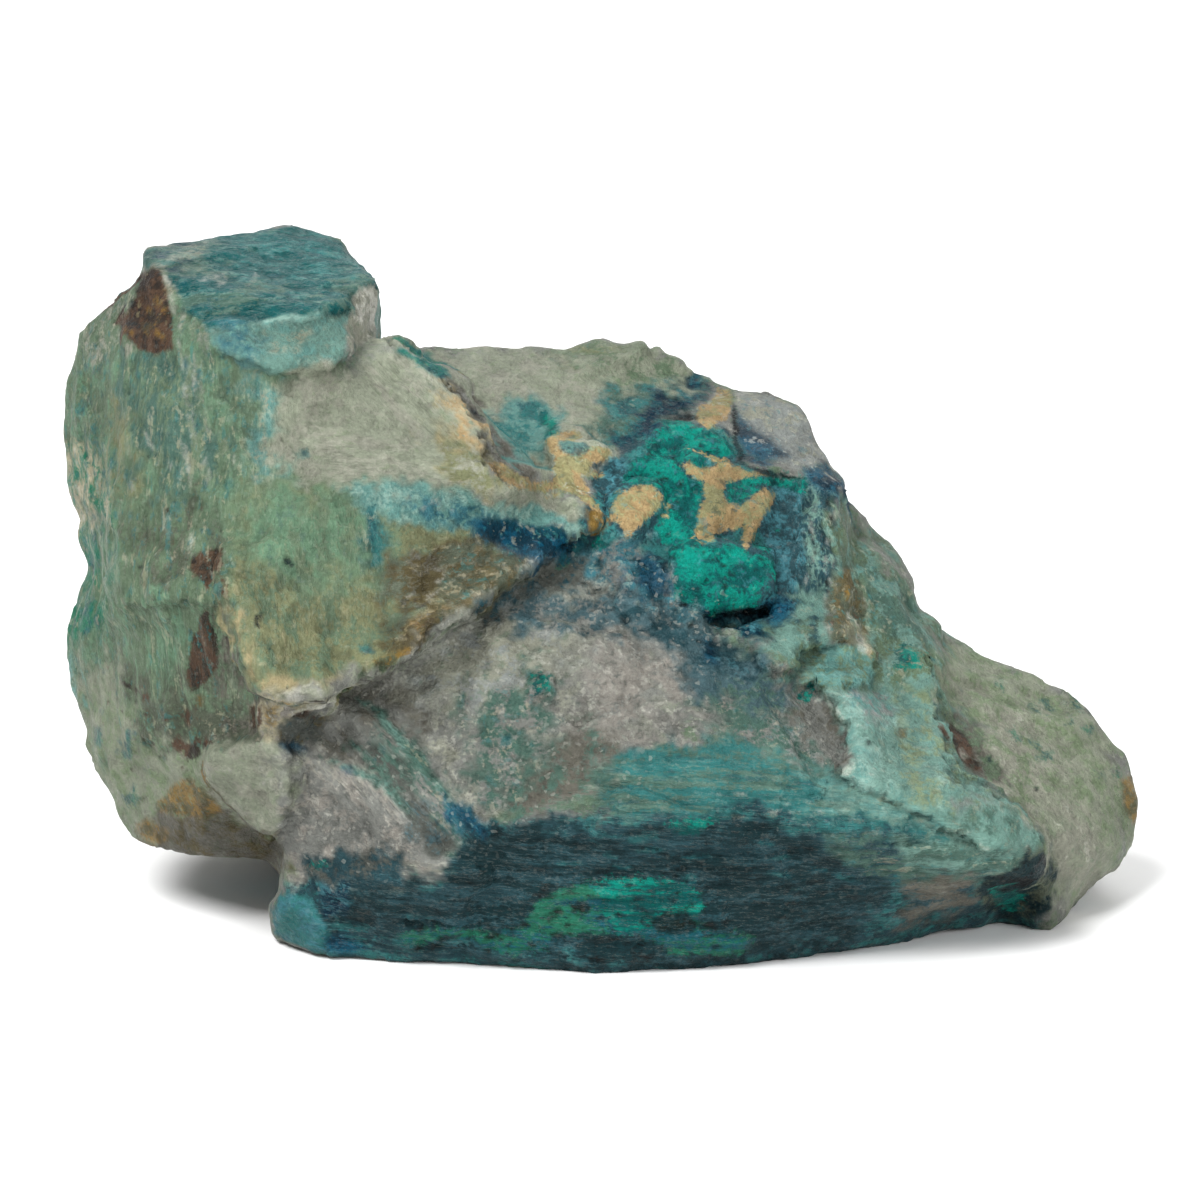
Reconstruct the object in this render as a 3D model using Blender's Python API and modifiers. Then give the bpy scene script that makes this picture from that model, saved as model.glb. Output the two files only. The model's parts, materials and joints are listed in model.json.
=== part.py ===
"""Chrysocolla specimen: one broken lump of drusy quartz and chrysocolla, resting on its underside.

The lump is the union of convex fracture blocks. A block's visible corners are read off a drawing of the
stone's front, which looks down on it a little; its hidden corners are plain positions. Both are in
millimetres. The origin is on the resting plane, under the middle of the stone. +Z is up, and the front
faces -Y.
"""

import math

import bmesh
import bpy
import numpy as np
from mathutils import Vector, noise
from mathutils.bvhtree import BVHTree

MM = 0.001

# The front drawing: the eye looks at a point above the middle of the base, from this far and this steeply.
VIEW_DISTANCE = 420.0
VIEW_TILT = math.radians(14.0)
VIEW_TARGET_HEIGHT = 24.6
# A drawn height is counted from the lowest point of the drawing, this far under its middle.
DRAWN_BASE = 31.0

STONE_NAME = "chrysocolla_stone"
UNION_VOXEL = 0.7 * MM
NOISE_SEED = 4
MOST_TRIANGLES = 9900

# name: (corners on the drawing as (right, up, depth), hidden corners as (x, y, z))
BLOCKS = {
    "cap": (
        [
            (-38.6, 59.4, -4.0), (-37.8, 60.4, -1.0), (-35.6, 60.8, 3.0), (-25.1, 62.2, 7.0),
            (-21.8, 61.0, 6.0), (-20.8, 59.3, 3.0), (-18.8, 57.5, -3.5), (-21.1, 55.5, -9.0),
            (-23.8, 54.7, -11.5), (-29.2, 53.8, -13.5), (-32.8, 53.0, -14.5), (-35.8, 58.0, -8.0),
            (-39.1, 56.2, -4.5), (-39.5, 53.7, -6.0), (-35.5, 51.5, -12.8), (-31.5, 51.7, -15.6),
            (-27.9, 50.5, -15.8), (-25.0, 50.2, -15.0), (-22.8, 49.8, -13.6), (-21.2, 51.7, -11.2),
            (-18.8, 56.2, -4.0), (-19.2, 53.5, -6.0), (-20.8, 48.5, -11.0), (-30.8, 48.5, -12.5),
        ],
        [
            (-36.0, 8.0, 44.0), (-18.0, 8.0, 44.0), (-25.0, 12.0, 50.0), (-33.0, 12.0, 48.0),
            (-19.0, 9.0, 50.0),
        ],
    ),
    "column": (
        [
            (-39.4, 56.5, -4.0), (-42.3, 54.6, 0.0), (-43.6, 53.1, 1.0), (-44.2, 50.8, 1.5),
            (-44.5, 48.1, 2.0), (-44.6, 45.2, 2.5), (-44.3, 41.8, 2.5), (-43.8, 37.7, 2.0),
            (-42.2, 35.0, 1.0), (-39.2, 52.2, -8.0), (-39.7, 46.0, -10.0), (-40.0, 39.3, -12.0),
            (-39.7, 34.3, -13.5), (-35.4, 52.2, -12.4), (-30.8, 51.8, -14.3), (-25.0, 49.3, -14.3),
            (-21.2, 48.9, -12.5), (-25.0, 40.4, -19.0), (-30.4, 31.0, -22.6), (-35.0, 31.0, -20.0),
            (-41.2, 27.7, -4.0), (-38.8, 23.5, -11.0), (-33.3, 23.5, -17.0),
        ],
        [
            (-42.0, 12.0, 36.0), (-40.0, 13.0, 24.0), (-36.0, 16.0, 44.0), (-20.0, 14.0, 46.0),
            (-20.0, 10.0, 20.0), (-30.0, 18.0, 30.0),
        ],
    ),
    "shoulder": (
        [
            (-21.2, 49.5, -12.5), (-18.2, 52.8, -5.0), (-16.2, 51.7, -4.0), (-13.8, 49.8, -3.5),
            (-11.2, 47.2, -4.0), (-10.0, 44.3, -5.5), (-9.4, 42.2, -6.5), (-6.7, 41.2, -7.5),
            (-3.3, 39.3, -8.5), (0.0, 37.5, -9.0), (-24.2, 40.4, -19.0), (-16.7, 40.7, -17.0),
            (-12.5, 40.2, -15.5), (-8.3, 39.3, -13.5), (-4.6, 38.8, -12.0),
        ],
        [
            (-18.0, 6.0, 42.0), (0.0, 0.0, 28.0), (-20.0, 0.0, 25.0),
        ],
    ),
    "flap": (
        [
            (-24.2, 40.4, -19.0), (-16.7, 40.7, -17.0), (-8.3, 39.3, -13.5), (0.0, 37.3, -9.0),
            (-4.7, 34.3, -12.5), (-8.7, 31.8, -15.5), (-11.9, 29.6, -18.5), (-14.4, 28.8, -20.5),
            (-15.4, 27.0, -21.5), (-16.8, 25.9, -22.5), (-20.8, 24.2, -24.0), (-23.8, 23.3, -25.0),
            (-28.2, 23.5, -26.0), (-30.4, 30.0, -23.5), (-29.6, 26.4, -25.0),
        ],
        [
            (-25.0, -12.0, 20.0), (-12.0, -8.0, 24.0), (-25.0, -5.0, 36.0), (0.0, -2.0, 34.0),
        ],
    ),
    "step": (
        [
            (-28.2, 23.5, -24.6), (-22.8, 23.5, -23.6), (-24.2, 21.8, -24.0), (-25.6, 20.8, -24.0),
            (-25.9, 19.8, -23.5), (-27.1, 20.8, -24.5), (-28.8, 21.0, -23.5),
        ],
        [
            (-25.0, -12.0, 14.0), (-20.0, -10.0, 22.0), (-28.0, -12.0, 22.0),
        ],
    ),
    "lobe": (
        [
            (-42.2, 35.0, 1.0), (-42.7, 31.7, 1.0), (-44.7, 28.1, 1.0), (-44.5, 25.6, 0.5),
            (-43.7, 22.7, -0.5), (-42.9, 19.3, -2.0), (-41.4, 16.7, -3.0), (-39.8, 13.8, -4.0),
            (-39.7, 11.5, -5.0), (-38.5, 10.3, -7.0), (-37.0, 10.1, -9.0), (-33.3, 9.2, -13.0),
            (-40.2, 31.0, -11.0), (-39.2, 27.7, -13.0), (-34.2, 30.8, -19.4), (-30.4, 30.0, -20.8),
            (-28.2, 23.5, -22.0), (-28.8, 19.3, -21.5), (-33.3, 17.7, -19.0), (-39.2, 19.3, -12.0),
            (-32.9, 14.3, -17.5), (-26.8, 8.8, -13.0), (-26.7, 14.3, -17.0),
        ],
        [
            (-42.0, 12.0, 22.0), (-36.0, 12.0, 5.0), (-24.0, 12.0, 2.0), (-28.0, 16.0, 12.0),
        ],
    ),
    "tongue": (
        [
            (-33.8, 17.5, -21.0), (-32.1, 18.9, -22.5), (-29.2, 19.5, -23.5), (-25.9, 18.9, -24.0),
            (-25.4, 17.2, -23.8), (-25.8, 14.3, -23.0), (-26.2, 13.3, -22.5), (-27.0, 11.6, -21.0),
            (-28.2, 12.0, -21.0), (-30.0, 12.5, -20.5), (-31.5, 14.5, -20.0), (-32.9, 15.6, -20.0),
            (-32.9, 17.5, -15.0), (-26.2, 18.5, -14.0), (-27.1, 12.2, -14.0),
        ],
        [],
    ),
    "base": (
        [
            (-25.9, 18.9, -21.0), (-26.7, 14.3, -21.5), (-26.4, 10.2, -20.5), (-26.7, 5.6, -19.5),
            (-26.8, 3.3, -14.2), (-26.1, 2.2, -16.8), (-22.5, 1.2, -20.2), (-12.5, 0.8, -21.0),
            (0.0, -0.2, -24.5), (7.5, 0.2, -23.4), (18.3, 1.2, -20.1), (28.3, 3.2, -14.0),
            (32.1, 3.6, -12.7), (-21.7, 7.2, -23.0), (-15.0, 8.5, -24.5), (-6.7, 11.4, -26.5),
            (3.3, 13.1, -27.0), (13.3, 13.9, -27.0), (23.3, 13.1, -25.5), (31.7, 11.0, -22.0),
            (36.7, 10.3, -18.5), (37.2, 9.7, -18.0), (-20.8, 23.9, -19.5), (-14.2, 28.5, -16.5),
            (-6.7, 33.5, -12.5), (0.0, 37.0, -8.5), (8.3, 34.3, -9.0),
        ],
        [
            (-25.0, -7.0, -3.0), (-27.0, 8.0, -3.0), (-20.0, 18.0, -3.0), (0.0, 24.0, -3.0),
            (20.0, 20.0, -3.0), (34.0, 4.0, -3.0), (14.0, -19.0, -3.0), (0.0, -22.0, -3.0),
            (-18.0, -14.0, -3.0), (26.0, -9.0, -3.0), (0.0, 22.0, 30.0), (20.0, 14.0, 26.0),
        ],
    ),
    "ridge": (
        [
            (-17.9, 52.2, 5.0), (-15.8, 51.2, 7.0), (-12.5, 50.4, 9.0), (-6.7, 49.8, 10.0),
            (-2.9, 50.0, 10.0), (-0.7, 53.2, 10.0), (3.3, 52.0, 10.0), (4.8, 51.6, 10.0),
            (7.0, 48.8, 8.5), (11.2, 48.7, 7.0), (-13.3, 49.8, 2.0), (-10.8, 46.8, -1.0),
            (-9.2, 42.7, -4.5), (-4.6, 40.2, -7.0), (0.0, 37.7, -8.5), (3.3, 39.3, -6.0),
            (4.2, 44.3, -1.0), (8.3, 46.0, 2.0),
        ],
        [
            (-20.0, 14.0, 38.0), (0.0, 24.0, 20.0), (14.0, 18.0, 34.0), (8.0, 22.0, 30.0),
            (-10.0, 22.0, 30.0),
        ],
    ),
    "heart": (
        [
            (3.3, 45.2, 0.0), (8.3, 47.2, 3.5), (11.2, 48.1, 5.0), (13.3, 42.2, 0.0), (19.2, 39.8, -2.5),
            (19.2, 34.3, -6.5), (16.7, 27.7, -12.0), (13.3, 27.7, -13.5), (8.3, 28.9, -14.5),
            (3.3, 31.0, -14.5), (0.0, 34.3, -12.0), (0.0, 37.7, -9.0),
        ],
        [
            (0.0, 10.0, 30.0), (18.0, 12.0, 30.0), (18.0, 0.0, 20.0),
        ],
    ),
    "nub": (
        [
            (11.1, 48.5, 7.0), (13.3, 48.2, 7.5), (17.0, 47.7, 6.5), (17.7, 44.9, 4.0), (20.2, 40.8, 1.0),
            (20.2, 38.9, -1.0), (19.0, 40.2, -3.0), (13.3, 42.2, -1.5), (10.7, 45.2, 1.5),
        ],
        [
            (10.0, 14.0, 36.0), (18.0, 12.0, 34.0), (20.0, 10.0, 28.0),
        ],
    ),
    "curtain": (
        [
            (19.0, 40.2, -3.0), (20.2, 38.9, -1.5), (20.4, 34.3, -5.0), (20.8, 27.7, -10.0),
            (19.6, 23.5, -13.5), (15.8, 25.2, -13.0), (14.2, 31.0, -11.0),
        ],
        [
            (12.0, 6.0, 20.0), (22.0, 8.0, 24.0), (20.0, 4.0, 12.0),
        ],
    ),
    "slope": (
        [
            (20.8, 39.5, 3.0), (24.2, 36.7, 5.0), (25.2, 33.9, 5.5), (25.8, 32.6, 5.0), (25.2, 31.3, 5.0),
            (26.0, 30.0, 5.0), (27.3, 28.7, 4.5), (20.8, 23.5, -12.0), (22.5, 27.7, -8.0),
            (29.2, 17.7, -13.0), (31.7, 19.3, -9.0), (25.0, 31.0, -3.0),
        ],
        [
            (20.0, 16.0, 16.0), (26.0, 14.0, 14.0), (24.0, 12.0, 0.0), (34.0, 8.0, 4.0),
        ],
    ),
    "tail": (
        [
            (27.1, 27.7, 3.0), (28.4, 28.8, 3.5), (30.0, 27.0, 3.5), (33.2, 26.2, 4.0), (36.7, 24.5, 3.5),
            (38.8, 23.5, 3.0), (42.3, 20.3, 1.0), (44.2, 18.0, 0.0), (45.3, 14.3, -2.0),
            (44.8, 10.8, -4.0), (42.2, 8.0, -6.0), (39.8, 6.8, -8.5), (39.3, 5.5, -10.0),
            (28.3, 22.7, -8.0), (30.0, 16.8, -13.0), (37.1, 11.2, -15.0), (41.2, 9.5, -11.0),
            (33.3, 9.3, -9.0),
        ],
        [
            (24.0, 14.0, 10.0), (32.0, 13.0, 10.0), (39.0, 10.0, 4.0), (24.0, 12.0, 0.0),
            (37.0, 8.0, -3.0),
        ],
    ),
    "tail_foot": (
        [
            (37.1, 11.2, -15.0), (41.2, 9.5, -11.0), (42.2, 8.0, -7.0), (39.8, 6.8, -9.5),
            (39.2, 5.3, -11.0), (37.7, 3.3, -13.7), (36.3, 3.4, -13.4), (35.8, 7.7, -9.0),
        ],
        [
            (38.0, 6.0, 2.0), (32.0, 2.0, -3.0), (29.0, -8.0, -3.0), (37.0, -6.0, -3.0),
            (37.0, 4.0, -3.0),
        ],
    ),
    "back": (
        [],
        [
            (-36.0, 13.0, 45.0), (-41.0, 14.0, 24.0), (-35.0, 17.0, 8.0), (-21.0, 22.0, -3.0),
            (0.0, 27.0, -3.0), (21.0, 21.0, -3.0), (33.0, 8.0, -3.0), (31.0, 15.0, 10.0),
            (21.0, 15.0, 30.0), (10.0, 18.0, 36.0), (-8.0, 19.0, 40.0), (-20.0, 14.0, 41.5),
            (-30.0, 0.0, 20.0), (0.0, 0.0, 5.0), (10.0, 0.0, 25.0), (-10.0, 25.0, 20.0),
            (12.0, 24.0, 16.0),
        ],
    ),
    "core": (
        [],
        [
            (-38.0, 3.0, 12.0), (-38.0, 5.0, 42.0), (-24.0, -17.0, 14.0), (-26.0, -9.0, 40.0),
            (-24.0, 12.0, 8.0), (-24.0, 12.0, 44.0), (0.0, 12.0, 8.0), (4.0, 12.0, 34.0),
            (14.0, -8.0, 12.0), (10.0, -4.0, 26.0), (-4.0, -12.0, 22.0), (-27.0, -14.0, 24.0),
            (-27.5, -19.0, 17.0),
        ],
    ),
    "waist": (
        [
            (-41.6, 35.3, 1.5), (-41.8, 31.7, 1.5), (-42.8, 29.2, 1.0), (-43.4, 37.7, 2.0),
            (-39.3, 34.3, -12.0), (-39.7, 28.9, -12.0),
        ],
        [
            (-41.0, 12.0, 30.0), (-41.0, 12.0, 22.0), (-30.0, 10.0, 26.0),
        ],
    ),
    "saddle": (
        [],
        [
            (8.0, 8.0, 36.0), (8.0, 16.0, 35.0), (18.0, 13.0, 31.0), (24.0, 12.0, 24.0),
            (24.0, 4.0, 20.0), (14.0, 0.0, 28.0), (26.0, 8.0, 12.0), (10.0, 0.0, 20.0), (21.0, 3.0, 27.0),
            (21.0, 9.0, 27.0), (25.0, 8.0, 23.0),
        ],
    ),
}

# Crusts that stand proud of the front, and hollows in it. name: (height, width of the edge, outline on
# the drawing as (right, up))
PLATES = {
    "clay_net": (0.8, 0.5, [
        (-4.6, 44.3), (-3.3, 45.2), (-1.7, 45.0), (-0.8, 43.8), (0.5, 43.7), (0.4, 42.7), (-1.2, 41.8),
        (-0.2, 39.8), (0.0, 37.7), (-1.2, 39.3), (-3.3, 40.8), (-6.2, 41.0), (-8.8, 42.2), (-6.7, 42.5),
        (-4.2, 41.7), (-4.0, 43.1),
    ]),
    "winged_clay": (0.9, 0.5, [
        (6.8, 42.4), (8.3, 42.3), (10.2, 41.8), (12.1, 42.3), (15.8, 41.5), (14.2, 40.7), (13.8, 37.7),
        (12.1, 35.3), (11.5, 37.7), (9.6, 37.0), (9.8, 35.3), (8.5, 35.3), (8.2, 38.5), (7.3, 41.0),
    ]),
    "left_clay": (0.8, 0.5, [
        (1.0, 39.2), (2.5, 40.2), (4.6, 40.8), (5.4, 39.8), (4.6, 38.3), (2.9, 37.0), (2.1, 36.0),
        (1.0, 37.7),
    ]),
    "turquoise_crust": (0.9, 0.7, [
        (6.3, 35.0), (8.3, 35.3), (12.1, 35.6), (14.3, 34.3), (14.3, 31.8), (13.3, 30.7), (11.2, 30.0),
        (8.3, 30.7), (6.5, 31.8),
    ]),
    "cavity": (-3.0, 0.8, [
        (9.0, 30.0), (10.7, 30.4), (12.3, 30.5), (14.2, 30.8), (14.0, 29.9), (12.5, 29.3), (10.7, 29.2),
        (9.3, 29.3),
    ]),
    "grey_hollow": (-0.9, 0.4, [
        (13.5, 23.5), (16.7, 24.2), (18.2, 23.5), (19.2, 21.7), (19.6, 20.6), (20.7, 20.2), (20.5, 18.9),
        (21.0, 18.3), (20.4, 17.2), (19.2, 15.6), (17.9, 16.4), (16.7, 18.3), (15.4, 20.3), (14.3, 22.0),
    ]),
    "mint_plate": (0.7, 0.4, [
        (17.7, 25.8), (19.2, 27.2), (20.8, 27.7), (22.7, 26.0), (22.7, 25.0), (21.5, 24.5), (21.2, 23.8),
        (19.8, 23.7), (18.5, 24.3),
    ]),
    "teal_crystals": (0.8, 0.5, [
        (-5.7, 24.3), (-4.2, 24.8), (-3.5, 23.5), (-4.2, 22.2), (-5.4, 22.7),
    ]),
    "blue_foot": (0.7, 0.6, [
        (-27.3, 6.4), (-25.8, 6.6), (-24.0, 5.6), (-22.5, 3.9), (-21.2, 2.0), (-23.3, 1.4), (-26.2, 2.2),
        (-27.7, 3.7),
    ]),
}

# Broken edges: the surface on the left of the line stands proud of the rest and sinks back over the reach.
# name: (height, width of the edge, reach, line on the drawing as (right, up))
LEDGES = {
    "clay_rim": (1.3, 0.5, 5.0, [
        (-6.7, 41.2), (-9.4, 42.4), (-10.2, 44.7), (-11.5, 47.5), (-13.8, 49.6), (-16.2, 51.7),
        (-17.8, 52.6),
    ]),
    "flap_edge": (1.2, 0.5, 6.0, [
        (-31.5, 34.3), (-31.0, 31.8), (-30.6, 30.0), (-30.0, 27.7), (-29.2, 25.7), (-28.2, 23.5),
        (-25.8, 23.2), (-23.8, 23.3),
    ]),
    "flap_hem": (0.9, 0.5, 4.0, [
        (-23.8, 23.3), (-20.8, 24.2), (-16.8, 25.9), (-15.4, 27.0), (-14.4, 28.8), (-11.9, 29.6),
        (-8.7, 31.8), (-4.7, 34.3), (-1.2, 36.8),
    ]),
    "upper_plate": (0.9, 0.4, 5.0, [
        (12.7, 26.7), (13.1, 25.7), (14.2, 25.2), (15.8, 24.8), (16.2, 26.0), (16.7, 27.0), (18.8, 27.2),
        (19.8, 27.7),
    ]),
    "pale_plate": (0.9, 0.4, 7.0, [
        (18.5, 23.3), (19.7, 21.0), (20.8, 19.3), (20.8, 18.1), (20.0, 16.5), (22.3, 14.8), (24.6, 14.2),
        (29.2, 11.7), (32.5, 10.3),
    ]),
    "tail_step": (0.9, 0.5, 6.0, [
        (36.8, 10.8), (34.6, 13.7), (31.2, 15.2), (29.2, 15.7), (28.3, 21.7), (27.1, 26.0),
    ]),
    "grey_face_edge": (1.5, 2.4, 12.0, [
        (-10.0, 9.2), (-12.1, 10.2), (-14.0, 13.9), (-15.7, 16.8), (-17.2, 19.5), (-19.6, 21.7),
        (-22.1, 22.9),
    ]),
    "teal_shelf": (0.9, 0.8, 6.0, [
        (36.7, 9.3), (30.0, 10.8), (21.7, 12.7), (13.3, 13.3), (6.7, 13.8), (3.3, 15.2), (0.0, 14.3),
    ]),
    "cap_lip": (0.5, 0.5, 4.0, [
        (-30.7, 51.7), (-28.2, 50.3), (-25.0, 50.2), (-22.9, 49.8), (-21.0, 51.7),
    ]),
    "column_edge": (0.8, 0.8, 6.0, [
        (-39.3, 52.7), (-39.8, 46.0), (-40.1, 39.3), (-40.0, 34.3), (-40.7, 30.2),
    ]),
    "arc": (0.6, 0.5, 5.0, [
        (-38.2, 30.5), (-36.2, 30.9), (-34.2, 31.0), (-32.3, 30.5), (-30.8, 31.0),
    ]),
}


def drawn(right, up, depth):
    """The point that the front drawing shows `right` of its middle and `up` from its base, `depth` behind
    the stone's middle plane."""
    height = up - DRAWN_BASE
    reach = VIEW_DISTANCE * math.cos(VIEW_TILT)
    share = (depth + reach) / (reach + height * math.sin(VIEW_TILT))
    eye_z = VIEW_TARGET_HEIGHT + VIEW_DISTANCE * math.sin(VIEW_TILT)
    on_sheet_z = VIEW_TARGET_HEIGHT + height * math.cos(VIEW_TILT)
    return (right * share, depth, eye_z + share * (on_sheet_z - eye_z))


def clear_scene():
    for obj in list(bpy.data.objects):
        bpy.data.objects.remove(obj)


def add_block(shell, seen, hidden):
    """One fracture block: the convex hull of its corners."""
    corners = [drawn(*corner) for corner in seen] + list(hidden)
    verts = [shell.verts.new(Vector(corner) * MM) for corner in corners]
    made = bmesh.ops.convex_hull(shell, input=verts)
    inside = [v for v in made["geom_interior"] if isinstance(v, bmesh.types.BMVert)]
    bmesh.ops.delete(shell, geom=inside, context="VERTS")


def evaluated_mesh(obj):
    graph = bpy.context.evaluated_depsgraph_get()
    return bpy.data.meshes.new_from_object(obj.evaluated_get(graph), depsgraph=graph)


def keep_largest_shell(mesh):
    """Drops every closed shell but the stone itself: gaps between blocks, and crumbs."""
    work = bmesh.new()
    work.from_mesh(mesh)
    shells = []
    waiting = set(work.verts)
    while waiting:
        shell = {waiting.pop()}
        front = list(shell)
        while front:
            vertex = front.pop()
            for edge in vertex.link_edges:
                other = edge.other_vert(vertex)
                if other in waiting:
                    waiting.remove(other)
                    shell.add(other)
                    front.append(other)
        shells.append(shell)
    shells.sort(key=len)
    for shell in shells[:-1]:
        bmesh.ops.delete(work, geom=list(shell), context="VERTS")
    work.to_mesh(mesh)
    work.free()


def union_of_blocks():
    """The blocks as one closed skin."""
    shell = bmesh.new()
    for seen, hidden in BLOCKS.values():
        add_block(shell, seen, hidden)
    mesh = bpy.data.meshes.new("blocks")
    shell.to_mesh(mesh)
    shell.free()
    obj = bpy.data.objects.new("blocks", mesh)
    bpy.context.scene.collection.objects.link(obj)
    remesh = obj.modifiers.new("union", "REMESH")
    remesh.mode = "VOXEL"
    remesh.voxel_size = UNION_VOXEL
    soften = obj.modifiers.new("soften", "SMOOTH")
    soften.factor = 0.5
    soften.iterations = 3
    union = evaluated_mesh(obj)
    bpy.data.objects.remove(obj)
    keep_largest_shell(union)
    return union


def on_drawing(points):
    """Where the front drawing shows each point, as (right, up)."""
    x, y, z = points.T / MM
    rise = z - VIEW_TARGET_HEIGHT
    away = y * math.cos(VIEW_TILT) - rise * math.sin(VIEW_TILT) + VIEW_DISTANCE
    climb = rise * math.cos(VIEW_TILT) + y * math.sin(VIEW_TILT)
    return np.stack((x, climb), axis=1) * (VIEW_DISTANCE / away)[:, None] + (0, DRAWN_BASE)


def inset(spots, outline):
    """How far each spot lies inside an outline; negative outside it."""
    corners = np.array(outline)
    ends = np.roll(corners, -1, axis=0)
    nearest = np.full(len(spots), 1e9)
    inside = np.zeros(len(spots), dtype=bool)
    for start, end in zip(corners, ends):
        run = end - start
        offset = spots - start
        along = np.clip(offset @ run / (run @ run), 0, 1)
        nearest = np.minimum(nearest, np.linalg.norm(offset - along[:, None] * run, axis=1))
        crosses = (start[1] > spots[:, 1]) != (end[1] > spots[:, 1])
        if run[1]:
            inside ^= crosses & (spots[:, 0] < start[0] + (spots[:, 1] - start[1]) * run[0] / run[1])
    return np.where(inside, nearest, -nearest)


def past_ledge(spots, line):
    """How far each spot lies to the left of a line (negative to its right), and how far beyond its ends."""
    corners = np.array(line)
    nearest = np.full(len(spots), 1e9)
    side = np.zeros(len(spots))
    beyond = np.zeros(len(spots))
    last = len(corners) - 2
    for i, (start, end) in enumerate(zip(corners, corners[1:])):
        run = end - start
        offset = spots - start
        along = offset @ run / (run @ run)
        from_line = np.linalg.norm(offset - np.clip(along, 0, 1)[:, None] * run, axis=1)
        over = np.zeros(len(spots))
        if i == 0:
            over = np.maximum(over, -along)
        if i == last:
            over = np.maximum(over, along - 1)
        closer = from_line < nearest
        nearest = np.where(closer, from_line, nearest)
        turn = run[0] * offset[:, 1] - run[1] * offset[:, 0]
        side = np.where(closer, np.sign(turn), side)
        beyond = np.where(closer, over * np.linalg.norm(run), beyond)
    return nearest * side, beyond


def seen_from_front(mesh, points, normals):
    """1 for a point that the front drawing shows, 0 for one that it hides."""
    eye = Vector((0, -math.cos(VIEW_TILT), math.sin(VIEW_TILT))) * VIEW_DISTANCE * MM
    eye.z += VIEW_TARGET_HEIGHT * MM
    tree = BVHTree.FromPolygons([v.co for v in mesh.vertices], [p.vertices for p in mesh.polygons])
    seen = np.zeros(len(points))
    for i, (point, normal) in enumerate(zip(points, normals)):
        sight = Vector(point) - eye
        if sight.dot(Vector(normal)) > 0:
            continue
        _, _, _, reach = tree.ray_cast(eye, sight.normalized())
        seen[i] = reach is not None and reach > sight.length - 1.5 * MM
    return seen


def skin(mesh):
    """A mesh's points and its normals there, summed in a fixed order so that each build is the same."""
    count = len(mesh.vertices)
    points = np.empty(count * 3)
    mesh.vertices.foreach_get("co", points)
    points = points.reshape(count, 3)
    mesh.calc_loop_triangles()
    corners = np.empty(len(mesh.loop_triangles) * 3, dtype=np.int64)
    mesh.loop_triangles.foreach_get("vertices", corners)
    triangles = points[corners].reshape(-1, 3, 3)
    facing = np.cross(triangles[:, 1] - triangles[:, 0], triangles[:, 2] - triangles[:, 0])
    shares = np.repeat(facing, 3, axis=0)
    normals = np.stack([np.bincount(corners, shares[:, axis], count) for axis in range(3)], axis=1)
    return points, normals / np.linalg.norm(normals, axis=1)[:, None]


def facets(point, size, seed):
    """Height at a point of a surface broken into small flat facets, each leaning its own way."""
    spot = point / size + Vector((seed, seed * 1.7, seed * 2.3))
    nearest = noise.voronoi(spot)[1][0]
    return (spot - nearest).dot(noise.noise_vector(nearest * 7.31)) * size


def fade(value, low, high):
    share = np.clip((value - low) / (high - low), 0, 1)
    return share * share * (3 - 2 * share)


def sculpt(mesh):
    """Breaks the skin into facets, runs fibres down the column and the tail, and raises the crusts."""
    points, normals = skin(mesh)
    spots = on_drawing(points)
    seen = seen_from_front(mesh, points, normals)

    column = fade(-points[:, 0] / MM, 23, 30)
    column *= fade(points[:, 2] / MM, 6, 12) * fade(-points[:, 2] / MM, -47, -43)
    tail = fade(points[:, 0] / MM, 20, 26)
    height = np.empty(len(points))
    for i, point in enumerate(points):
        p = Vector(point)
        coarse = facets(p, 13 * MM, 3.0) * (0.09 + 0.06 * (1 - seen[i]))
        fine = facets(p, 4.5 * MM, 11.0) * 0.08
        tooth = noise.fractal(p / (2.0 * MM), 0.9, 2.0, 3) * 0.1 * MM
        fibre = noise.fractal(Vector((p.x / 1.6, p.y / 1.6, p.z / 12)) / MM, 0.8, 2.0, 3) * 0.4 * MM
        across = Vector((p.x + p.z, p.y * 2.0, 0)) / (3 * MM)
        along = Vector((0, 0, (p.x - p.z * 0.9) / (14 * MM)))
        grain = noise.fractal(across + along, 0.8, 2.0, 2)
        height[i] = coarse + fine + tooth + fibre * column[i] + grain * 0.22 * MM * tail[i]

    wander = np.array([noise.noise_vector(Vector((r, u, 0)) / 1.7)[:2] for r, u in spots]) * 0.5
    for rise, edge, outline in PLATES.values():
        height += rise * MM * seen * fade(inset(spots + wander, outline), -edge / 2, edge / 2)
    for rise, edge, reach, line in LEDGES.values():
        past, beyond = past_ledge(spots + wander, line)
        lift = fade(past, -edge / 2, edge / 2) * (1 - fade(past, edge, reach)) * (1 - fade(beyond, 0, 2))
        height += rise * MM * seen * lift
    height *= 1 - fade(-normals[:, 2], 0.5, 0.8) * fade(-points[:, 2] / MM, -2, -0.5)
    mesh.vertices.foreach_set("co", (points + normals * height[:, None]).ravel())
    mesh.update()


def thin_out(mesh):
    """Leaves fewer triangles, most of them where the surface bends."""
    obj = bpy.data.objects.new("thinning", mesh)
    bpy.context.scene.collection.objects.link(obj)
    decimate = obj.modifiers.new("thin", "DECIMATE")
    mesh.calc_loop_triangles()
    decimate.ratio = MOST_TRIANGLES / len(mesh.loop_triangles)
    thinned = evaluated_mesh(obj)
    bpy.data.objects.remove(obj)
    return thinned


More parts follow.
